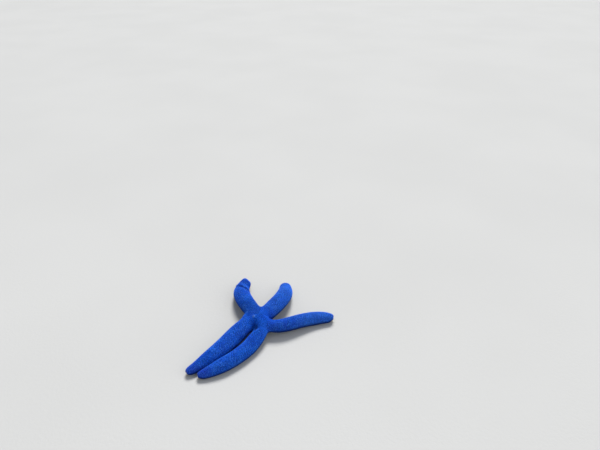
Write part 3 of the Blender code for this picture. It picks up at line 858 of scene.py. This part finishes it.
def store(mesh, name, values, kind="FLOAT", domain="POINT"):
    """Keeps a value for each point, face or corner as an attribute of the mesh."""
    attribute = mesh.attributes.new(name, kind, domain)
    table = np.ascontiguousarray(values, np.int32 if kind == "INT" else np.float32)
    attribute.data.foreach_set("vector" if kind in ("FLOAT2", "FLOAT_VECTOR") else "value", table.ravel())


def read(items, field, width, number):
    """One field of a mesh's points, normals or corners, in rows of the given width."""
    values = np.zeros(len(items) * width, number)
    items.foreach_get(field, values)
    return values.reshape(-1, width)


def baking_map(points, turns, corners, shares, angles, face_arm, parts):
    """Where each face corner lies on its part's own square: along and round an arm, or over the disc."""
    arm = face_arm[:, None]
    share = shares[arm, corners]
    angle = angles[arm, corners]
    first = angle[:, :1]
    angle = first + (angle - first + math.pi) % math.tau - math.pi
    outer = parts[:, None] % 2
    along = np.clip(share * 2.0 - outer, 0.0, 1.0)
    across = MAP_MARGIN + (1.0 - 2.0 * MAP_MARGIN) * along
    spread = np.stack([across, 0.5 + MAP_ROUND * angle / math.pi], axis=2)
    flat = (points[corners][:, :, :2] - FLAT_CENTRE) / MAP_DISC_REACH
    below = (turns[corners].mean(axis=1) < 0.0)[:, None]
    half_breadth, half_height = MAP_DISC
    across = 0.25 + half_breadth * flat[:, :, 0] + 0.5 * below
    disc = np.stack([across, 0.5 + half_height * flat[:, :, 1]], axis=2)
    return np.where((parts == DISC_PART)[:, None, None], disc, spread)


def rounded(cage):
    """The mesh that subdivision makes of the cage."""
    coarse = bpy.data.meshes.new("skin_cage")
    cage.mesh.to_mesh(coarse)
    cage.mesh.free()
    body = added("skin_cage", coarse)
    rounding = body.modifiers.new("rounding", "SUBSURF")
    rounding.levels = rounding.render_levels = SKIN_LEVELS
    mesh = evaluated_mesh(body)
    bpy.data.objects.remove(body)
    return mesh


def skin_mesh(look, coat_depth):
    """The whole skin, sunk by the coat's depth, with the fields that the coat and the paint read."""
    lines = list(LINES.values())
    cage = Cage(lines)
    mesh = rounded(cage)
    points = read(mesh.vertices, "co", 3, float)
    normals = read(mesh.vertex_normals, "vector", 3, np.float32).astype(float)
    turns = normals[:, 2]

    by_line = zip(*[line.places(points) for line in lines])
    distances, shares, lefts, ups = (np.stack(values) for values in by_line)
    angles = np.arctan2(lefts, ups)
    arm = np.argmin(distances, axis=0)
    own = (arm, np.arange(len(points)))
    share, left, low = np.clip(shares[own], 0.0, 1.0), lefts[own], ups[own] < 0.0
    furrow = 1.0 + (FURROW_TIP - 1.0) * share
    flat = points[:, :2] - FLAT_CENTRE
    from_middle = np.linalg.norm(flat, axis=1)
    bare = smooth_step(np.abs(left) / (FURROW_HALF * furrow), *FURROW_BARE) * low
    bare = np.maximum(bare, smooth_step(from_middle / MOUTH_RADIUS, *MOUTH_BARE) * low)
    plate, tone = plate_relief(points, turns, look.plate_width)
    tone *= 1.0 - DISC_CALM * smooth_step(from_middle, *reversed(DISC_REACH))
    rise, painted_shade = skin_relief(flat, turns, arm, plate, bare, look)
    points = points + normals * (rise - coat_depth)[:, None]
    points[:, 2] = np.maximum(points[:, 2], coat_depth)
    mesh.vertices.foreach_set("co", points.ravel())
    mesh.update()

    from_sieve = np.linalg.norm(points[:, :2] - (FLAT_CENTRE + np.array(SIEVE_PLACE)), axis=1)
    on_sieve = (from_sieve < SIEVE_RADIUS * SIEVE_CLEAR) & (turns > 0.0)
    coat = np.where(on_sieve, 0.0, 1.0 - bare)
    corners = read(mesh.loops, "vertex_index", 1, np.int32).reshape(-1, 4)
    face_arm = arm[corners[:, 0]]
    face_share = shares[face_arm, corners[:, 0]]
    notches = [max(cage.notches[i][0], cage.notches[i - 1][1]) for i in range(len(lines))]
    roots = np.array([notch + DISC_MARGIN / line.length for notch, line in zip(notches, lines)])
    parts = 2 * face_arm + (face_share > 0.5)
    parts = np.where(face_share < roots[face_arm], DISC_PART, parts)
    unwrap = baking_map(points, turns, corners, shares, angles, face_arm, parts)

    # fold holds the painted shade of the creases and the hollow; the arms' fields hold painted light and
    # shade
    fields = {"turn": turns, "plate": plate, "tone": tone, "fold": painted_shade, **arm_painted_light_and_shade(arm, share)}
    for name, values in (*fields.items(), ("bare", bare), ("coat", coat)):
        store(mesh, name, values)
    store(mesh, "part", parts, "INT", "FACE")
    store(mesh, "unwrap", unwrap, "FLOAT2", "CORNER")
    mesh.shade_smooth()
    return mesh


# Geometry Nodes


class Growth(Nodes):
    """A tree of geometry nodes with named inputs, which ends in plain mesh with a material."""

    def __init__(self, name, inputs):
        super().__init__(bpy.data.node_groups.new(name, "GeometryNodeTree"))
        face = self.tree.interface
        face.new_socket("Geometry", in_out="INPUT", socket_type="NodeSocketGeometry")
        for label, kind in inputs.items():
            face.new_socket(label, in_out="INPUT", socket_type=f"NodeSocket{kind}")
        face.new_socket("Geometry", in_out="OUTPUT", socket_type="NodeSocketGeometry")
        self.given = self.add("NodeGroupInput").outputs

    def named(self, name, kind="FLOAT"):
        return self.made("GeometryNodeInputNamedAttribute", {"Name": name}, data_type=kind)

    def stored(self, geometry, name, value, kind="FLOAT", domain="POINT"):
        values = {"Geometry": geometry, "Name": name, "Value": value}
        return self.made("GeometryNodeStoreNamedAttribute", values, data_type=kind, domain=domain)

    def vector(self, operation, first, second):
        values = {0: first, ("Scale" if operation == "SCALE" else 1): second}
        return self.made("ShaderNodeVectorMath", values, operation=operation)

    def parted(self, vector):
        return self.add("ShaderNodeSeparateXYZ", {"Vector": vector}).outputs

    def joined(self, x, y, z):
        return self.made("ShaderNodeCombineXYZ", {"X": x, "Y": y, "Z": z})

    def drawn(self, low, high, seed):
        """A number drawn for each point."""
        values = {2: low, 3: high, "Seed": seed}
        return self.add("FunctionNodeRandomValue", values, data_type="FLOAT").outputs[1]

    def place(self):
        return self.made("GeometryNodeInputPosition")

    def placed(self, geometry, position):
        return self.made("GeometryNodeSetPosition", {"Geometry": geometry, "Position": position})

    def set_out(self, points, instance, rotation, scale):
        """A copy of the instance on each point, as plain mesh."""
        values = {"Points": points, "Instance": instance, "Rotation": rotation, "Scale": scale}
        copies = self.made("GeometryNodeInstanceOnPoints", values)
        return self.made("GeometryNodeRealizeInstances", {"Geometry": copies})

    def close(self, geometry, paint, spare):
        """Keeps all above the floor, drops the fields that are spent, smooths, and sets the material."""
        x, y, z = self.parted(self.place())
        geometry = self.placed(geometry, self.joined(x, y, self.maths("MAXIMUM", z, FLOOR_GAP)))
        for name in spare:
            geometry = self.made("GeometryNodeRemoveAttribute", {"Geometry": geometry, "Name": name})
        smooth = self.made("GeometryNodeSetShadeSmooth", {"Geometry": geometry})
        finished = self.made("GeometryNodeSetMaterial", {"Geometry": smooth, "Material": paint})
        self.add("NodeGroupOutput", {"Geometry": finished})
        return self.tree


def grown(name, base, tree, values):
    """The plain mesh object that a tree grows on a base mesh."""
    worker = added(f"{name}_worker", base)
    growth = worker.modifiers.new("growth", "NODES")
    growth.node_group = tree
    for item in tree.interface.items_tree:
        if item.name in values:
            growth[item.identifier] = values[item.name]
    mesh = evaluated_mesh(worker)
    bpy.data.objects.remove(worker)
    mesh.name = name
    return added(name, mesh)


def granule_tree(paint):
    """Granules set close all over the skin: low and round, each turned and sized by chance."""
    sizes = {"Gap": "Float", "Breadth": "Float", "Height": "Float"}
    grow = Growth("granule_coat", {**sizes, "Part": "Int", "Seed": "Int", "Pores": "Float"})
    given = grow.given
    gap = given["Gap"]
    spreading = {
        "Mesh": given["Geometry"],
        "Selection": grow.maths("GREATER_THAN", grow.named("coat"), COAT_SEEN),
        "Distance Min": gap,
        "Density Max": grow.maths("DIVIDE", CANDIDATES, grow.maths("MULTIPLY", gap, gap)),
        "Seed": given["Seed"],
    }
    spread = grow.add("GeometryNodeDistributePointsOnFaces", spreading, distribute_method="POISSON")
    open_here = grow.maths("LESS_THAN", grow.named("plate"), PORE_END)
    chance = grow.maths("MULTIPLY", open_here, given["Pores"])
    pore = grow.maths("LESS_THAN", grow.drawn(0.0, 1.0, seed=3), chance)
    values = {2: grow.named("part", "INT"), 3: given["Part"]}
    elsewhere = grow.made("FunctionNodeCompare", values, data_type="INT", operation="NOT_EQUAL")
    gone = grow.made("FunctionNodeBooleanMath", {0: elsewhere, 1: pore}, operation="OR")
    values = {"Geometry": spread.outputs["Points"], "Selection": gone}
    points = grow.made("GeometryNodeDeleteGeometry", values, domain="POINT")
    points = grow.stored(points, "speck", grow.drawn(0.0, 1.0, seed=9))

    cone = grow.made("GeometryNodeMeshCone", GRANULE_CONE, fill_type="NGON")
    cone = grow.stored(cone, "patch", grow.place(), "FLOAT_VECTOR")
    size = grow.maths("MULTIPLY", given["Breadth"], grow.drawn(*GRANULE_HALVES, seed=5))
    tall = grow.maths("MULTIPLY", given["Height"], grow.drawn(*GRANULE_HEIGHTS, seed=6))
    spin = {"Euler": grow.joined(0.0, 0.0, grow.drawn(0.0, math.tau, seed=7))}
    values = {
        "Rotation": spread.outputs["Rotation"],
        "Rotate By": grow.made("FunctionNodeEulerToRotation", spin),
    }
    spun = grow.made("FunctionNodeRotateRotation", values, rotation_space="LOCAL")
    mesh = grow.set_out(points, cone, spun, grow.joined(size, size, tall))
    patch = grow.vector("SCALE", grow.named("patch", "FLOAT_VECTOR"), MAP_GRANULE)
    on_map = grow.vector("ADD", grow.named("unwrap", "FLOAT_VECTOR"), patch)
    mesh = grow.stored(mesh, "OFBake", on_map, "FLOAT2", "CORNER")
    return grow.close(mesh, paint, ("patch", "unwrap", "coat", "bare", "part"))


def stalk_tree(name, profile, paint):
    """A stalk on each point: aimed, sized, bent to one side, and as thick as the profile says."""
    grow = Growth(name, {"Sides": "Int", "Rings": "Int", "Cup": "Float"})
    given = grow.given
    values = {
        "Vertices": given["Sides"],
        "Side Segments": given["Rings"],
        "Fill Segments": 1,
        "Radius": 1.0,
        "Depth": 1.0,
    }
    tube = grow.made("GeometryNodeMeshCylinder", values, fill_type="TRIANGLE_FAN")
    x, y, z = grow.parted(grow.place())
    along = grow.maths("ADD", z, 0.5)
    breadth = grow.add("ShaderNodeFloatCurve", {"Factor": 1.0, "Value": along})
    points = breadth.mapping.curves[0].points
    for i, (place, value) in enumerate(profile):
        point = points[i] if i < 2 else points.new(place, value)
        point.location = (place, value)
    breadth.mapping.update()
    wide = breadth.outputs[0]
    from_axis = grow.maths("ADD", grow.maths("ABSOLUTE", x), grow.maths("ABSOLUTE", y))
    in_middle = grow.maths("LESS_THAN", from_axis, CUP_HALF)
    at_end = grow.maths("GREATER_THAN", along, 0.5)
    cup = grow.maths("MULTIPLY", grow.maths("MULTIPLY", in_middle, given["Cup"]), at_end)
    x, y = grow.maths("MULTIPLY", x, wide), grow.maths("MULTIPLY", y, wide)
    shape = grow.joined(x, y, grow.maths("SUBTRACT", along, cup))
    tube = grow.placed(grow.stored(tube, "along", along), shape)
    aim = {"Vector": grow.named("aim", "FLOAT_VECTOR")}
    turned = grow.made("FunctionNodeAlignRotationToVector", aim, axis="Z")
    girth = grow.named("girth")
    mesh = grow.set_out(given["Geometry"], tube, turned, grow.joined(girth, girth, grow.named("reach")))
    along = grow.named("along")
    lean = grow.vector("SCALE", grow.named("bend", "FLOAT_VECTOR"), grow.maths("MULTIPLY", along, along))
    mesh = grow.placed(mesh, grow.vector("ADD", grow.place(), lean))
    return grow.close(mesh, paint, ("aim", "girth", "reach", "bend"))


def grow_stalks(name, profile, paint, stalks, shape):
    """Grows a piece of tube feet or spines and finishes it."""
    base = bpy.data.meshes.new(f"{name}_roots")
    base.from_pydata([stalk.place for stalk in stalks], [], [])
    for kind, fields in (("FLOAT_VECTOR", ("aim", "bend")), ("FLOAT", ("reach", "girth"))):
        for field in fields:
            store(base, field, [getattr(stalk, field) for stalk in stalks], kind)
    finish_piece(grown(name, base, stalk_tree(f"{name}_rows", profile, paint), shape), "disc")


# Settings


def length_field(name, description, default):
    values = {"min": 0.0, "precision": 5, "unit": "LENGTH"}
    return FloatProperty(name=name, description=description, default=default, **values)


def colour_field(name, description, default):
    values = {"size": 3, "subtype": "COLOR", "min": 0.0, "max": 1.0}
    return FloatVectorProperty(name=name, description=description, default=default, **values)


def number_field(name, description, default):
    return FloatProperty(name=name, description=description, default=default, min=0.0)


def count_field(name, description, default, least=0):
    return IntProperty(name=name, description=description, default=default, min=least)


class StarfishSkin(bpy.types.PropertyGroup):
    plate_width: length_field("Plate width", "Width of the plates that show through the skin", 0.0026)
    plate_rise: length_field("Plate rise", "How far a plate's middle stands above its edges", 0.00030)
    fold: length_field("Fold", "Depth of the fold across the back left arm", 0.0018)
    hollow: length_field("Hollow", "Depth of the hollow between the two front arms", 0.0028)
    shoulder: length_field("Shoulder", "Depth of the crease behind the front arm's shoulder", 0.0009)
    vivid: colour_field("Vivid blue", "Main colour of the upper side", (0.0095, 0.127, 0.76))
    bright: colour_field("Bright blue", "Colour of the lighter blotches", (0.0165, 0.190, 0.90))
    # Also the painted shade on the tips of the left and front arms
    violet: colour_field("Violet blue", "Colour of the warmer blotches", (0.026, 0.080, 0.62))
    # Painted shade on the lower sides, the creases, the back left arm's root and the sieve plate's grooves;
    # between plates and on the tip plates it is the skin's own deep blue
    deep: colour_field("Deep blue", "Colour of the lower sides and between plates", (0.002, 0.018, 0.15))
    pale: colour_field("Underside", "Colour of the underside", (0.13, 0.23, 0.50))
    furrow: colour_field("Furrow", "Colour of the flesh in the furrows", (0.62, 0.55, 0.38))
    furrow_dark: colour_field("Furrow, dark", "Colour of the darker flesh there", (0.34, 0.29, 0.24))
    # Also the painted light on the paler arms
    speck: colour_field("Specks", "Colour of the palest granules and plates", (0.070, 0.29, 0.92))
    sieve: colour_field("Sieve plate", "Colour of the sieve plate's ridges", (0.075, 0.26, 0.95))
    sieve_pale: colour_field("Sieve plate, pale", "Colour of its paler spots", (0.11, 0.32, 0.95))
    eyespot: colour_field("Eyespot", "Colour of the spot at the tip of each arm", (0.30, 0.015, 0.010))


class StarfishGranules(bpy.types.PropertyGroup):
    gap: length_field("Gap", "Least distance between the middles of two granules", 0.00047)
    breadth: length_field("Breadth", "Greatest breadth of a granule", 0.00060)
    depth: length_field("Depth", "How far the skin lies inside the solids, which the granules fill", 0.00028)
    pores: FloatProperty(
        name="Pores",
        description="Share of the granules left out between plates, where the pores open",
        default=0.12,
        min=0.0,
        max=1.0,
        subtype="FACTOR",
    )
    seed: count_field("Seed", "Draws the granules' places", 4)


class StarfishFeet(bpy.types.PropertyGroup):
    spacing: length_field("Spacing", "Distance between two pairs of tube feet", 0.00135)
    aside: length_field("Aside", "Distance from the middle of the furrow to a row of tube feet", 0.00092)
    radius: length_field("Radius", "Radius of a tube foot's stem at the root of the arm", 0.00036)
    reach: length_field("Reach", "How far a tube foot hangs out where the arm is raised", 0.0022)
    lean: number_field("Lean", "Greatest lean, as a slope", 0.25)
    seed: count_field("Seed", "Draws the leans and lengths of the tube feet", 8)


class StarfishSpines(bpy.types.PropertyGroup):
    spacing: length_field("Spacing", "Distance between two spines on the furrow's edge", 0.00062)
    reach: length_field("Length", "Length of a spine on the furrow's edge", 0.00125)
    radius: length_field("Radius", "Radius of a spine", 0.00023)
    knob_spacing: length_field("Knob spacing", "Distance between two knobs in the outer row", 0.00098)
    knob_reach: length_field("Knob length", "Length of a knob in the outer row", 0.0008)
    knob_radius: length_field("Knob radius", "Radius of a knob in the outer row", 0.00036)
    seed: count_field("Seed", "Draws the leans of the spines", 6)


class StarfishPlates(bpy.types.PropertyGroup):
    grooves: count_field("Grooves", "Winding grooves on the sieve plate", 15, least=3)
    groove_depth: length_field("Groove depth", "Depth of the sieve plate's grooves", 0.00016)
    tip_length: length_field("Tip plate length", "Length of the plate at an arm's tip", 0.0024)
    tip_rise: length_field("Tip plate rise", "How far the plate at an arm's tip stands out", 0.0005)


class StarfishStage(bpy.types.PropertyGroup):
    floor: colour_field("Floor", "Colour of the floor", (0.56, 0.56, 0.55))
    reach: length_field("Floor size", "Breadth of the floor", 24.0)
    key: number_field("Key light", "Strength of the light above and behind", 3.45)
    fill: number_field("Fill light", "Strength of the light in front", 0.95)
    sky: number_field("Sky", "Strength of the light from all round", 0.40)


# Operators


class STARFISH_OT_stage(bpy.types.Operator):
    """Make the camera, the floor and the lights"""

    bl_idname = "starfish.stage"
    bl_label = "Stage"

    def execute(self, context):
        stage = context.scene.starfish_stage
        data = bpy.data.cameras.new("camera")
        data.sensor_width = SENSOR
        data.lens = SENSOR * FOCAL_PIXELS / PICTURE_WIDTH
        data.clip_start, data.clip_end = CLIPS
        camera = added("camera", data)
        right, up = Vector(CAMERA_RIGHT), Vector(CAMERA_UP)
        turn = Matrix((right, up, right.cross(up))).transposed()
        camera.matrix_world = Matrix.Translation(CENTRE + Vector(CAMERA_PLACE)) @ turn.to_4x4()
        context.scene.camera = camera

        half = stage.reach / 2.0
        corners = [(-half, -half, 0.0), (half, -half, 0.0), (half, half, 0.0), (-half, half, 0.0)]
        mesh = bpy.data.meshes.new("floor")
        mesh.from_pydata(corners, [], [range(len(corners))])
        mesh.materials.append(floor_paint(stage))
        added("floor", mesh)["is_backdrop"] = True

        for name, (place, spread, tint) in LIGHTS.items():
            light = bpy.data.lights.new(f"{name}_light", "SUN")
            light.angle = math.radians(spread)
            light.energy = getattr(stage, name)
            light.color = tint
            lamp = added(f"{name}_light", light)
            lamp.location = CENTRE + Vector(place)
            lamp.rotation_euler = (-Vector(place)).to_track_quat("-Z", "Y").to_euler()

        world = bpy.data.worlds.new("sky")
        world.use_nodes = True
        background = world.node_tree.nodes["Background"]
        background.inputs["Color"].default_value = (*SKY_TINT, 1.0)
        background.inputs["Strength"].default_value = stage.sky
        context.scene.world = world
        context.scene.view_settings.view_transform = "Standard"
        return {"FINISHED"}


class STARFISH_OT_skin(bpy.types.Operator):
    """Make the one skin over the disc and all the arms"""

    bl_idname = "starfish.skin"
    bl_label = "Skin"

    def execute(self, context):
        look = context.scene.starfish_skin
        mesh = skin_mesh(look, context.scene.starfish_granules.depth)
        mesh.materials.clear()
        mesh.materials.append(skin_paint(look))
        mesh.name = "skin"
        flesh = [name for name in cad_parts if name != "sieve_plate"]
        finish_piece(added("skin", mesh), "arm", *flesh)
        return {"FINISHED"}


class STARFISH_OT_granules(bpy.types.Operator):
    """Cover the skin with granules, one piece for each half of an arm and one for the disc"""

    bl_idname = "starfish.granules"
    bl_label = "Granules"

    def execute(self, context):
        coat = context.scene.starfish_granules
        tree = granule_tree(granule_paint(context.scene.starfish_skin))
        base = made_piece("skin").data.copy()
        base.materials.clear()
        values = {
            "Gap": coat.gap,
            "Breadth": coat.breadth,
            "Height": coat.depth,
            "Seed": coat.seed,
            "Pores": coat.pores,
        }
        for i, arm in enumerate(ARMS):
            for j, half in enumerate(("inner", "outer")):
                piece = grown(f"granules_{arm}_{half}", base, tree, {**values, "Part": 2 * i + j})
                finish_piece(piece, "arm")
        finish_piece(grown("granules_disc", base, tree, {**values, "Part": DISC_PART}), "disc")
        return {"FINISHED"}


def furrow_places(line, spacing):
    """Both sides of each station along a furrow: size, middle, left, up and ahead there, and which side."""
    share = MOUTH_RIM / line.length
    while share < FURROW_END:
        size = line.furrow(share)
        side, up, ahead = line.side(share), line.up(share), line.ahead(share)
        for hand in (-1.0, 1.0):
            yield size, line.point(share), line.half(share), side, up, ahead, hand
        share += spacing * (SPACING_FIXED + (1.0 - SPACING_FIXED) * size) / line.length


class STARFISH_OT_tube_feet(bpy.types.Operator):
    """Set two rows of tube feet with suckers in each furrow"""

    bl_idname = "starfish.tube_feet"
    bl_label = "Tube feet"

    def execute(self, context):
        feet, look = context.scene.starfish_feet, context.scene.starfish_skin
        surface = skin_surface()
        draw = random.Random(feet.seed)
        stalks = []
        for line in LINES.values():
            for size, middle, half, side, up, ahead, hand in furrow_places(line, feet.spacing):
                rim = middle - up * half * DEPTH
                below = rim + side * hand * feet.aside * size - up * feet.reach
                roof = surface.ray_cast(below, up)[0]
                slope = ahead * draw.uniform(-feet.lean, feet.lean)
                slope += side * hand * draw.uniform(FOOT_LEAN_IN, feet.lean)
                down = (slope - up).normalized()
                radius = feet.radius * size * draw.uniform(*FOOT_GIRTHS)
                room = (roof.z - radius * FOOT_CLEAR) / max(-down.z, FOOT_STEEP)
                hang = (roof - rim).dot(up) + feet.reach * draw.uniform(*FOOT_HANG)
                reach = max(min(room, hang), radius)
                bend = ahead * draw.uniform(-1.0, 1.0) + side * draw.uniform(-FOOT_SWAY, FOOT_SWAY)
                bend = bend * reach * FOOT_BEND
                stalks.append(Stalk(roof - down * radius, down, reach + radius, radius * 2.0, bend))
        paint = flesh_paint("tube_feet", look.furrow, look.furrow, look)
        grow_stalks("tube_feet", FOOT_PROFILE, paint, stalks, FOOT_SHAPE)
        return {"FINISHED"}


class STARFISH_OT_spines(bpy.types.Operator):
    """Line the furrows and the mouth with blunt spines, and set a row of knobs outside them"""

    bl_idname = "starfish.spines"
    bl_label = "Furrow spines"

    def execute(self, context):
        spines, look = context.scene.starfish_spines, context.scene.starfish_skin
        surface = skin_surface()
        draw = random.Random(spines.seed)
        stalks = []

        def grow(below, up, inward, slant, reach, radius):
            root = surface.ray_cast(below, up)[0]
            if root is None:
                return
            raised = eased(root.z, *SPINE_RAISED)
            lean = inward * (1.0 - raised * SPINE_STRAIGHT)
            aim = (lean - up * (raised * SPINE_DOWN + SPINE_DROOP) + slant).normalized()
            reach *= draw.uniform(*SPINE_LENGTHS)
            if aim.z < 0.0:
                reach = min(reach, max(root.z - SPINE_CLEAR, SPINE_LEAST) / -aim.z)
            stalks.append(Stalk(root - aim * radius, aim, reach + radius, radius, slant * reach * SPINE_BEND))

        lines = list(LINES.values())
        for line in lines:
            for spacing, out, lean, reach, radius in (
                (spines.spacing, SPINE_OUT, SPINE_INWARD, spines.reach, spines.radius),
                (spines.knob_spacing, KNOB_OUT, KNOB_INWARD, spines.knob_reach, spines.knob_radius),
            ):
                for size, middle, half, side, up, ahead, hand in furrow_places(line, spacing):
                    place = middle + side * hand * FURROW_HALF * out * size
                    below = place - up * (half * DEPTH + BELOW_FURROW)
                    slant = ahead * draw.uniform(*SPINE_LEAN)
                    grow(below, up, -side * hand * lean, slant, reach * size, radius * size)
        for line, after in zip(lines, (*lines[1:], lines[0])):
            ways = [neighbour.point(JAW_SHARE) - CENTRE for neighbour in (line, after)]
            first, second = (Vector((way.x, way.y, 0.0)).normalized() for way in ways)
            out = (first + second).normalized()
            aside = Vector((-out.y, out.x, 0.0))
            for ring, count in JAW_RINGS:
                for k in range(count):
                    across = (k - (count - 1) / 2.0) * JAW_SPACING
                    below = CENTRE + out * MOUTH_RADIUS * ring + aside * across
                    slant = -aside * across * JAW_SPREAD
                    reach, radius = spines.reach * JAW_REACH, spines.radius * JAW_GIRTH
                    grow(below, Vector((0.0, 0.0, 1.0)), -out * JAW_INWARD, slant, reach, radius)
        paint = flesh_paint("furrow_spines", look.pale, look.furrow, look)
        grow_stalks("furrow_spines", SPINE_PROFILE, paint, stalks, SPINE_SHAPE)
        return {"FINISHED"}


def skin_slope(surface, place):
    """The plane that lies best on the skin round a place: its slope in x and in y, and its height there."""
    rows = []
    for k in range(SIEVE_SPOTS):
        angle = math.tau * k / SIEVE_SPOTS
        spot = place + Vector((math.cos(angle), math.sin(angle), 0.0)) * SIEVE_RADIUS
        hit = surface.ray_cast(Vector((spot.x, spot.y, ABOVE)), Vector((0.0, 0.0, -1.0)))[0]
        rows.append((spot.x - place.x, spot.y - place.y, 1.0, hit.z))
    rows = np.array(rows)
    return np.linalg.lstsq(rows[:, :3], rows[:, 3], rcond=None)[0]


def sieve_ridge(x, y, angle, radius, grooves):
    """1 on the sieve plate's ridges and 0 in its grooves, which wind outwards and fork on the way."""
    warp = 0.0
    for level, scale, strength in SIEVE_WARPS:
        warp += noise.noise(Vector((x, y, level)) * scale) * strength
    inner = math.cos(grooves * angle + warp * SIEVE_WARP_TURN)
    outer = math.cos(2 * grooves * angle + warp * SIEVE_WARP_TURN + 1.0)
    wave = inner + (outer - inner) * eased(radius, *SIEVE_FORK)
    return eased(wave, *SIEVE_RIDGE) * eased(radius, *SIEVE_HEART)


class STARFISH_OT_sieve_plate(bpy.types.Operator):
    """Make the sieve plate with its winding grooves"""

    bl_idname = "starfish.sieve_plate"
    bl_label = "Sieve plate"

    def execute(self, context):
        plates = context.scene.starfish_plates
        low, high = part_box("sieve_plate")
        place = (low + high) / 2.0
        slope_x, slope_y, base = skin_slope(skin_surface(), place)
        crown = high.z - base - max(abs(slope_x), abs(slope_y)) * SIEVE_RADIUS * SIEVE_TILT_ROOM
        vertices, ridges = [], []
        for ring in range(SIEVE_RINGS + 1):
            radius = ring / SIEVE_RINGS
            for k in range(SIEVE_ROUND):
                angle = math.tau * k / SIEVE_ROUND
                lobe = math.cos(SIEVE_LOBES * angle + SIEVE_LOBE_TURN)
                out = SIEVE_RADIUS * radius * (1.0 + SIEVE_LOBE_RISE * lobe)
                x, y = math.cos(angle) * out, math.sin(angle) * out
                ridge = sieve_ridge(x, y, angle, radius, plates.grooves)
                dome = math.sqrt(max(0.0, 1.0 - radius**SIEVE_DOME))
                sunk = plates.groove_depth * (1.0 - ridge) * eased(radius, *SIEVE_RIM)
                z = base + slope_x * x + slope_y * y + crown * dome - sunk
                vertices.append((place.x + x, place.y + y, z))
                ridges.append(ridge)
        for x, y, _ in vertices[-SIEVE_ROUND:]:
            z = base + slope_x * (x - place.x) + slope_y * (y - place.y) - SIEVE_SKIRT
            vertices.append((x, y, z))
            ridges.append(0.0)
        faces = []
        for ring in range(SIEVE_RINGS + 1):
            inner, outer = ring * SIEVE_ROUND, (ring + 1) * SIEVE_ROUND
            for k in range(SIEVE_ROUND):
                after = (k + 1) % SIEVE_ROUND
                faces.append((inner + k, outer + k, outer + after, inner + after))
        faces.append(tuple(reversed(range(len(vertices) - SIEVE_ROUND, len(vertices)))))
        mesh = bpy.data.meshes.new("sieve_plate_grooves")
        mesh.from_pydata(vertices, [], faces)
        store(mesh, "ridge", ridges)
        shape = bmesh.new()
        shape.from_mesh(mesh)
        bmesh.ops.remove_doubles(shape, verts=shape.verts, dist=1e-6)
        bmesh.ops.recalc_face_normals(shape, faces=shape.faces)
        shape.to_mesh(mesh)
        shape.free()
        mesh.shade_smooth()
        mesh.materials.append(sieve_paint(context.scene.starfish_skin))
        finish_piece(added("sieve_plate_grooves", mesh), "sieve", "sieve_plate")
        return {"FINISHED"}


class STARFISH_OT_tip_plates(bpy.types.Operator):
    """Cap the tip of each arm with a smooth plate over its eyespot"""

    bl_idname = "starfish.tip_plates"
    bl_label = "Tip plates"

    def execute(self, context):
        plates = context.scene.starfish_plates
        surface = skin_surface()
        half = plates.tip_length / 2.0
        shape = bmesh.new()
        spots = []
        for line in LINES.values():
            ahead, side, up = line.ahead(TIP_AT), line.side(TIP_AT), line.up(TIP_AT)
            out = (ahead + up * TIP_LIFT).normalized()
            root, normal = surface.ray_cast(line.point(TIP_FROM) + out * TIP_AWAY, -out)[:2]
            turn = Matrix((side, normal.cross(side).normalized(), normal)).transposed().to_4x4()
            ball = bmesh.ops.create_uvsphere(shape, u_segments=28, v_segments=16, radius=1.0)["verts"]
            for vertex in ball:
                x, y, z = vertex.co
                notch = TIP_NOTCH * math.exp(-((x / TIP_NOTCH_HALF) ** 2)) * eased(y, *TIP_NOTCH_REACH)
                vertex.co = Vector((x * half * TIP_BREADTH, y * half, z * plates.tip_rise * (1.0 - notch)))
                spots.append(eased(y, *TIP_SPOT_ALONG) * eased(abs(x), *TIP_SPOT_ACROSS))
            bmesh.ops.transform(shape, matrix=Matrix.Translation(root) @ turn, verts=ball)
        mesh = bpy.data.meshes.new("tip_plates")
        shape.to_mesh(mesh)
        shape.free()
        mesh.shade_smooth()
        # Known fault: the sphere lists its points in another order than the mesh, so the red is scattered.
        store(mesh, "spot", spots)
        mesh.materials.append(tip_paint(context.scene.starfish_skin))
        finish_piece(added("tip_plates", mesh), "tip")
        return {"FINISHED"}


SETTINGS = {
    "starfish_stage": StarfishStage,
    "starfish_skin": StarfishSkin,
    "starfish_granules": StarfishGranules,
    "starfish_feet": StarfishFeet,
    "starfish_spines": StarfishSpines,
    "starfish_plates": StarfishPlates,
}
OPERATORS = (
    STARFISH_OT_stage,
    STARFISH_OT_skin,
    STARFISH_OT_granules,
    STARFISH_OT_tube_feet,
    STARFISH_OT_spines,
    STARFISH_OT_sieve_plate,
    STARFISH_OT_tip_plates,
)


class STARFISH_PT_panel(bpy.types.Panel):
    """Shows the starfish's operators and their settings"""

    bl_label = "Blue starfish"
    bl_space_type = "VIEW_3D"
    bl_region_type = "UI"
    bl_category = "Starfish"

    def draw(self, context):
        layout = self.layout
        for operator in OPERATORS:
            layout.operator(operator.bl_idname)
        for name, group in SETTINGS.items():
            box = layout.box()
            box.label(text=name.replace("_", " "))
            for field in group.__annotations__:
                box.prop(getattr(context.scene, name), field)


def register():
    for group in (*SETTINGS.values(), *OPERATORS, STARFISH_PT_panel):
        bpy.utils.register_class(group)
    for name, group in SETTINGS.items():
        setattr(bpy.types.Scene, name, PointerProperty(type=group))


def unregister():
    for name in SETTINGS:
        delattr(bpy.types.Scene, name)
    for group in (STARFISH_PT_panel, *reversed(OPERATORS), *reversed(SETTINGS.values())):
        bpy.utils.unregister_class(group)


def main():
    register()
    for operator in OPERATORS:
        getattr(bpy.ops.starfish, operator.bl_idname.split(".")[1])()
    boxes = {"cad": cad_bounds, "visual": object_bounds()}
    {name: [list(corner) for corner in box] for name, box in boxes.items()}


if __name__ == "__main__":
    main()
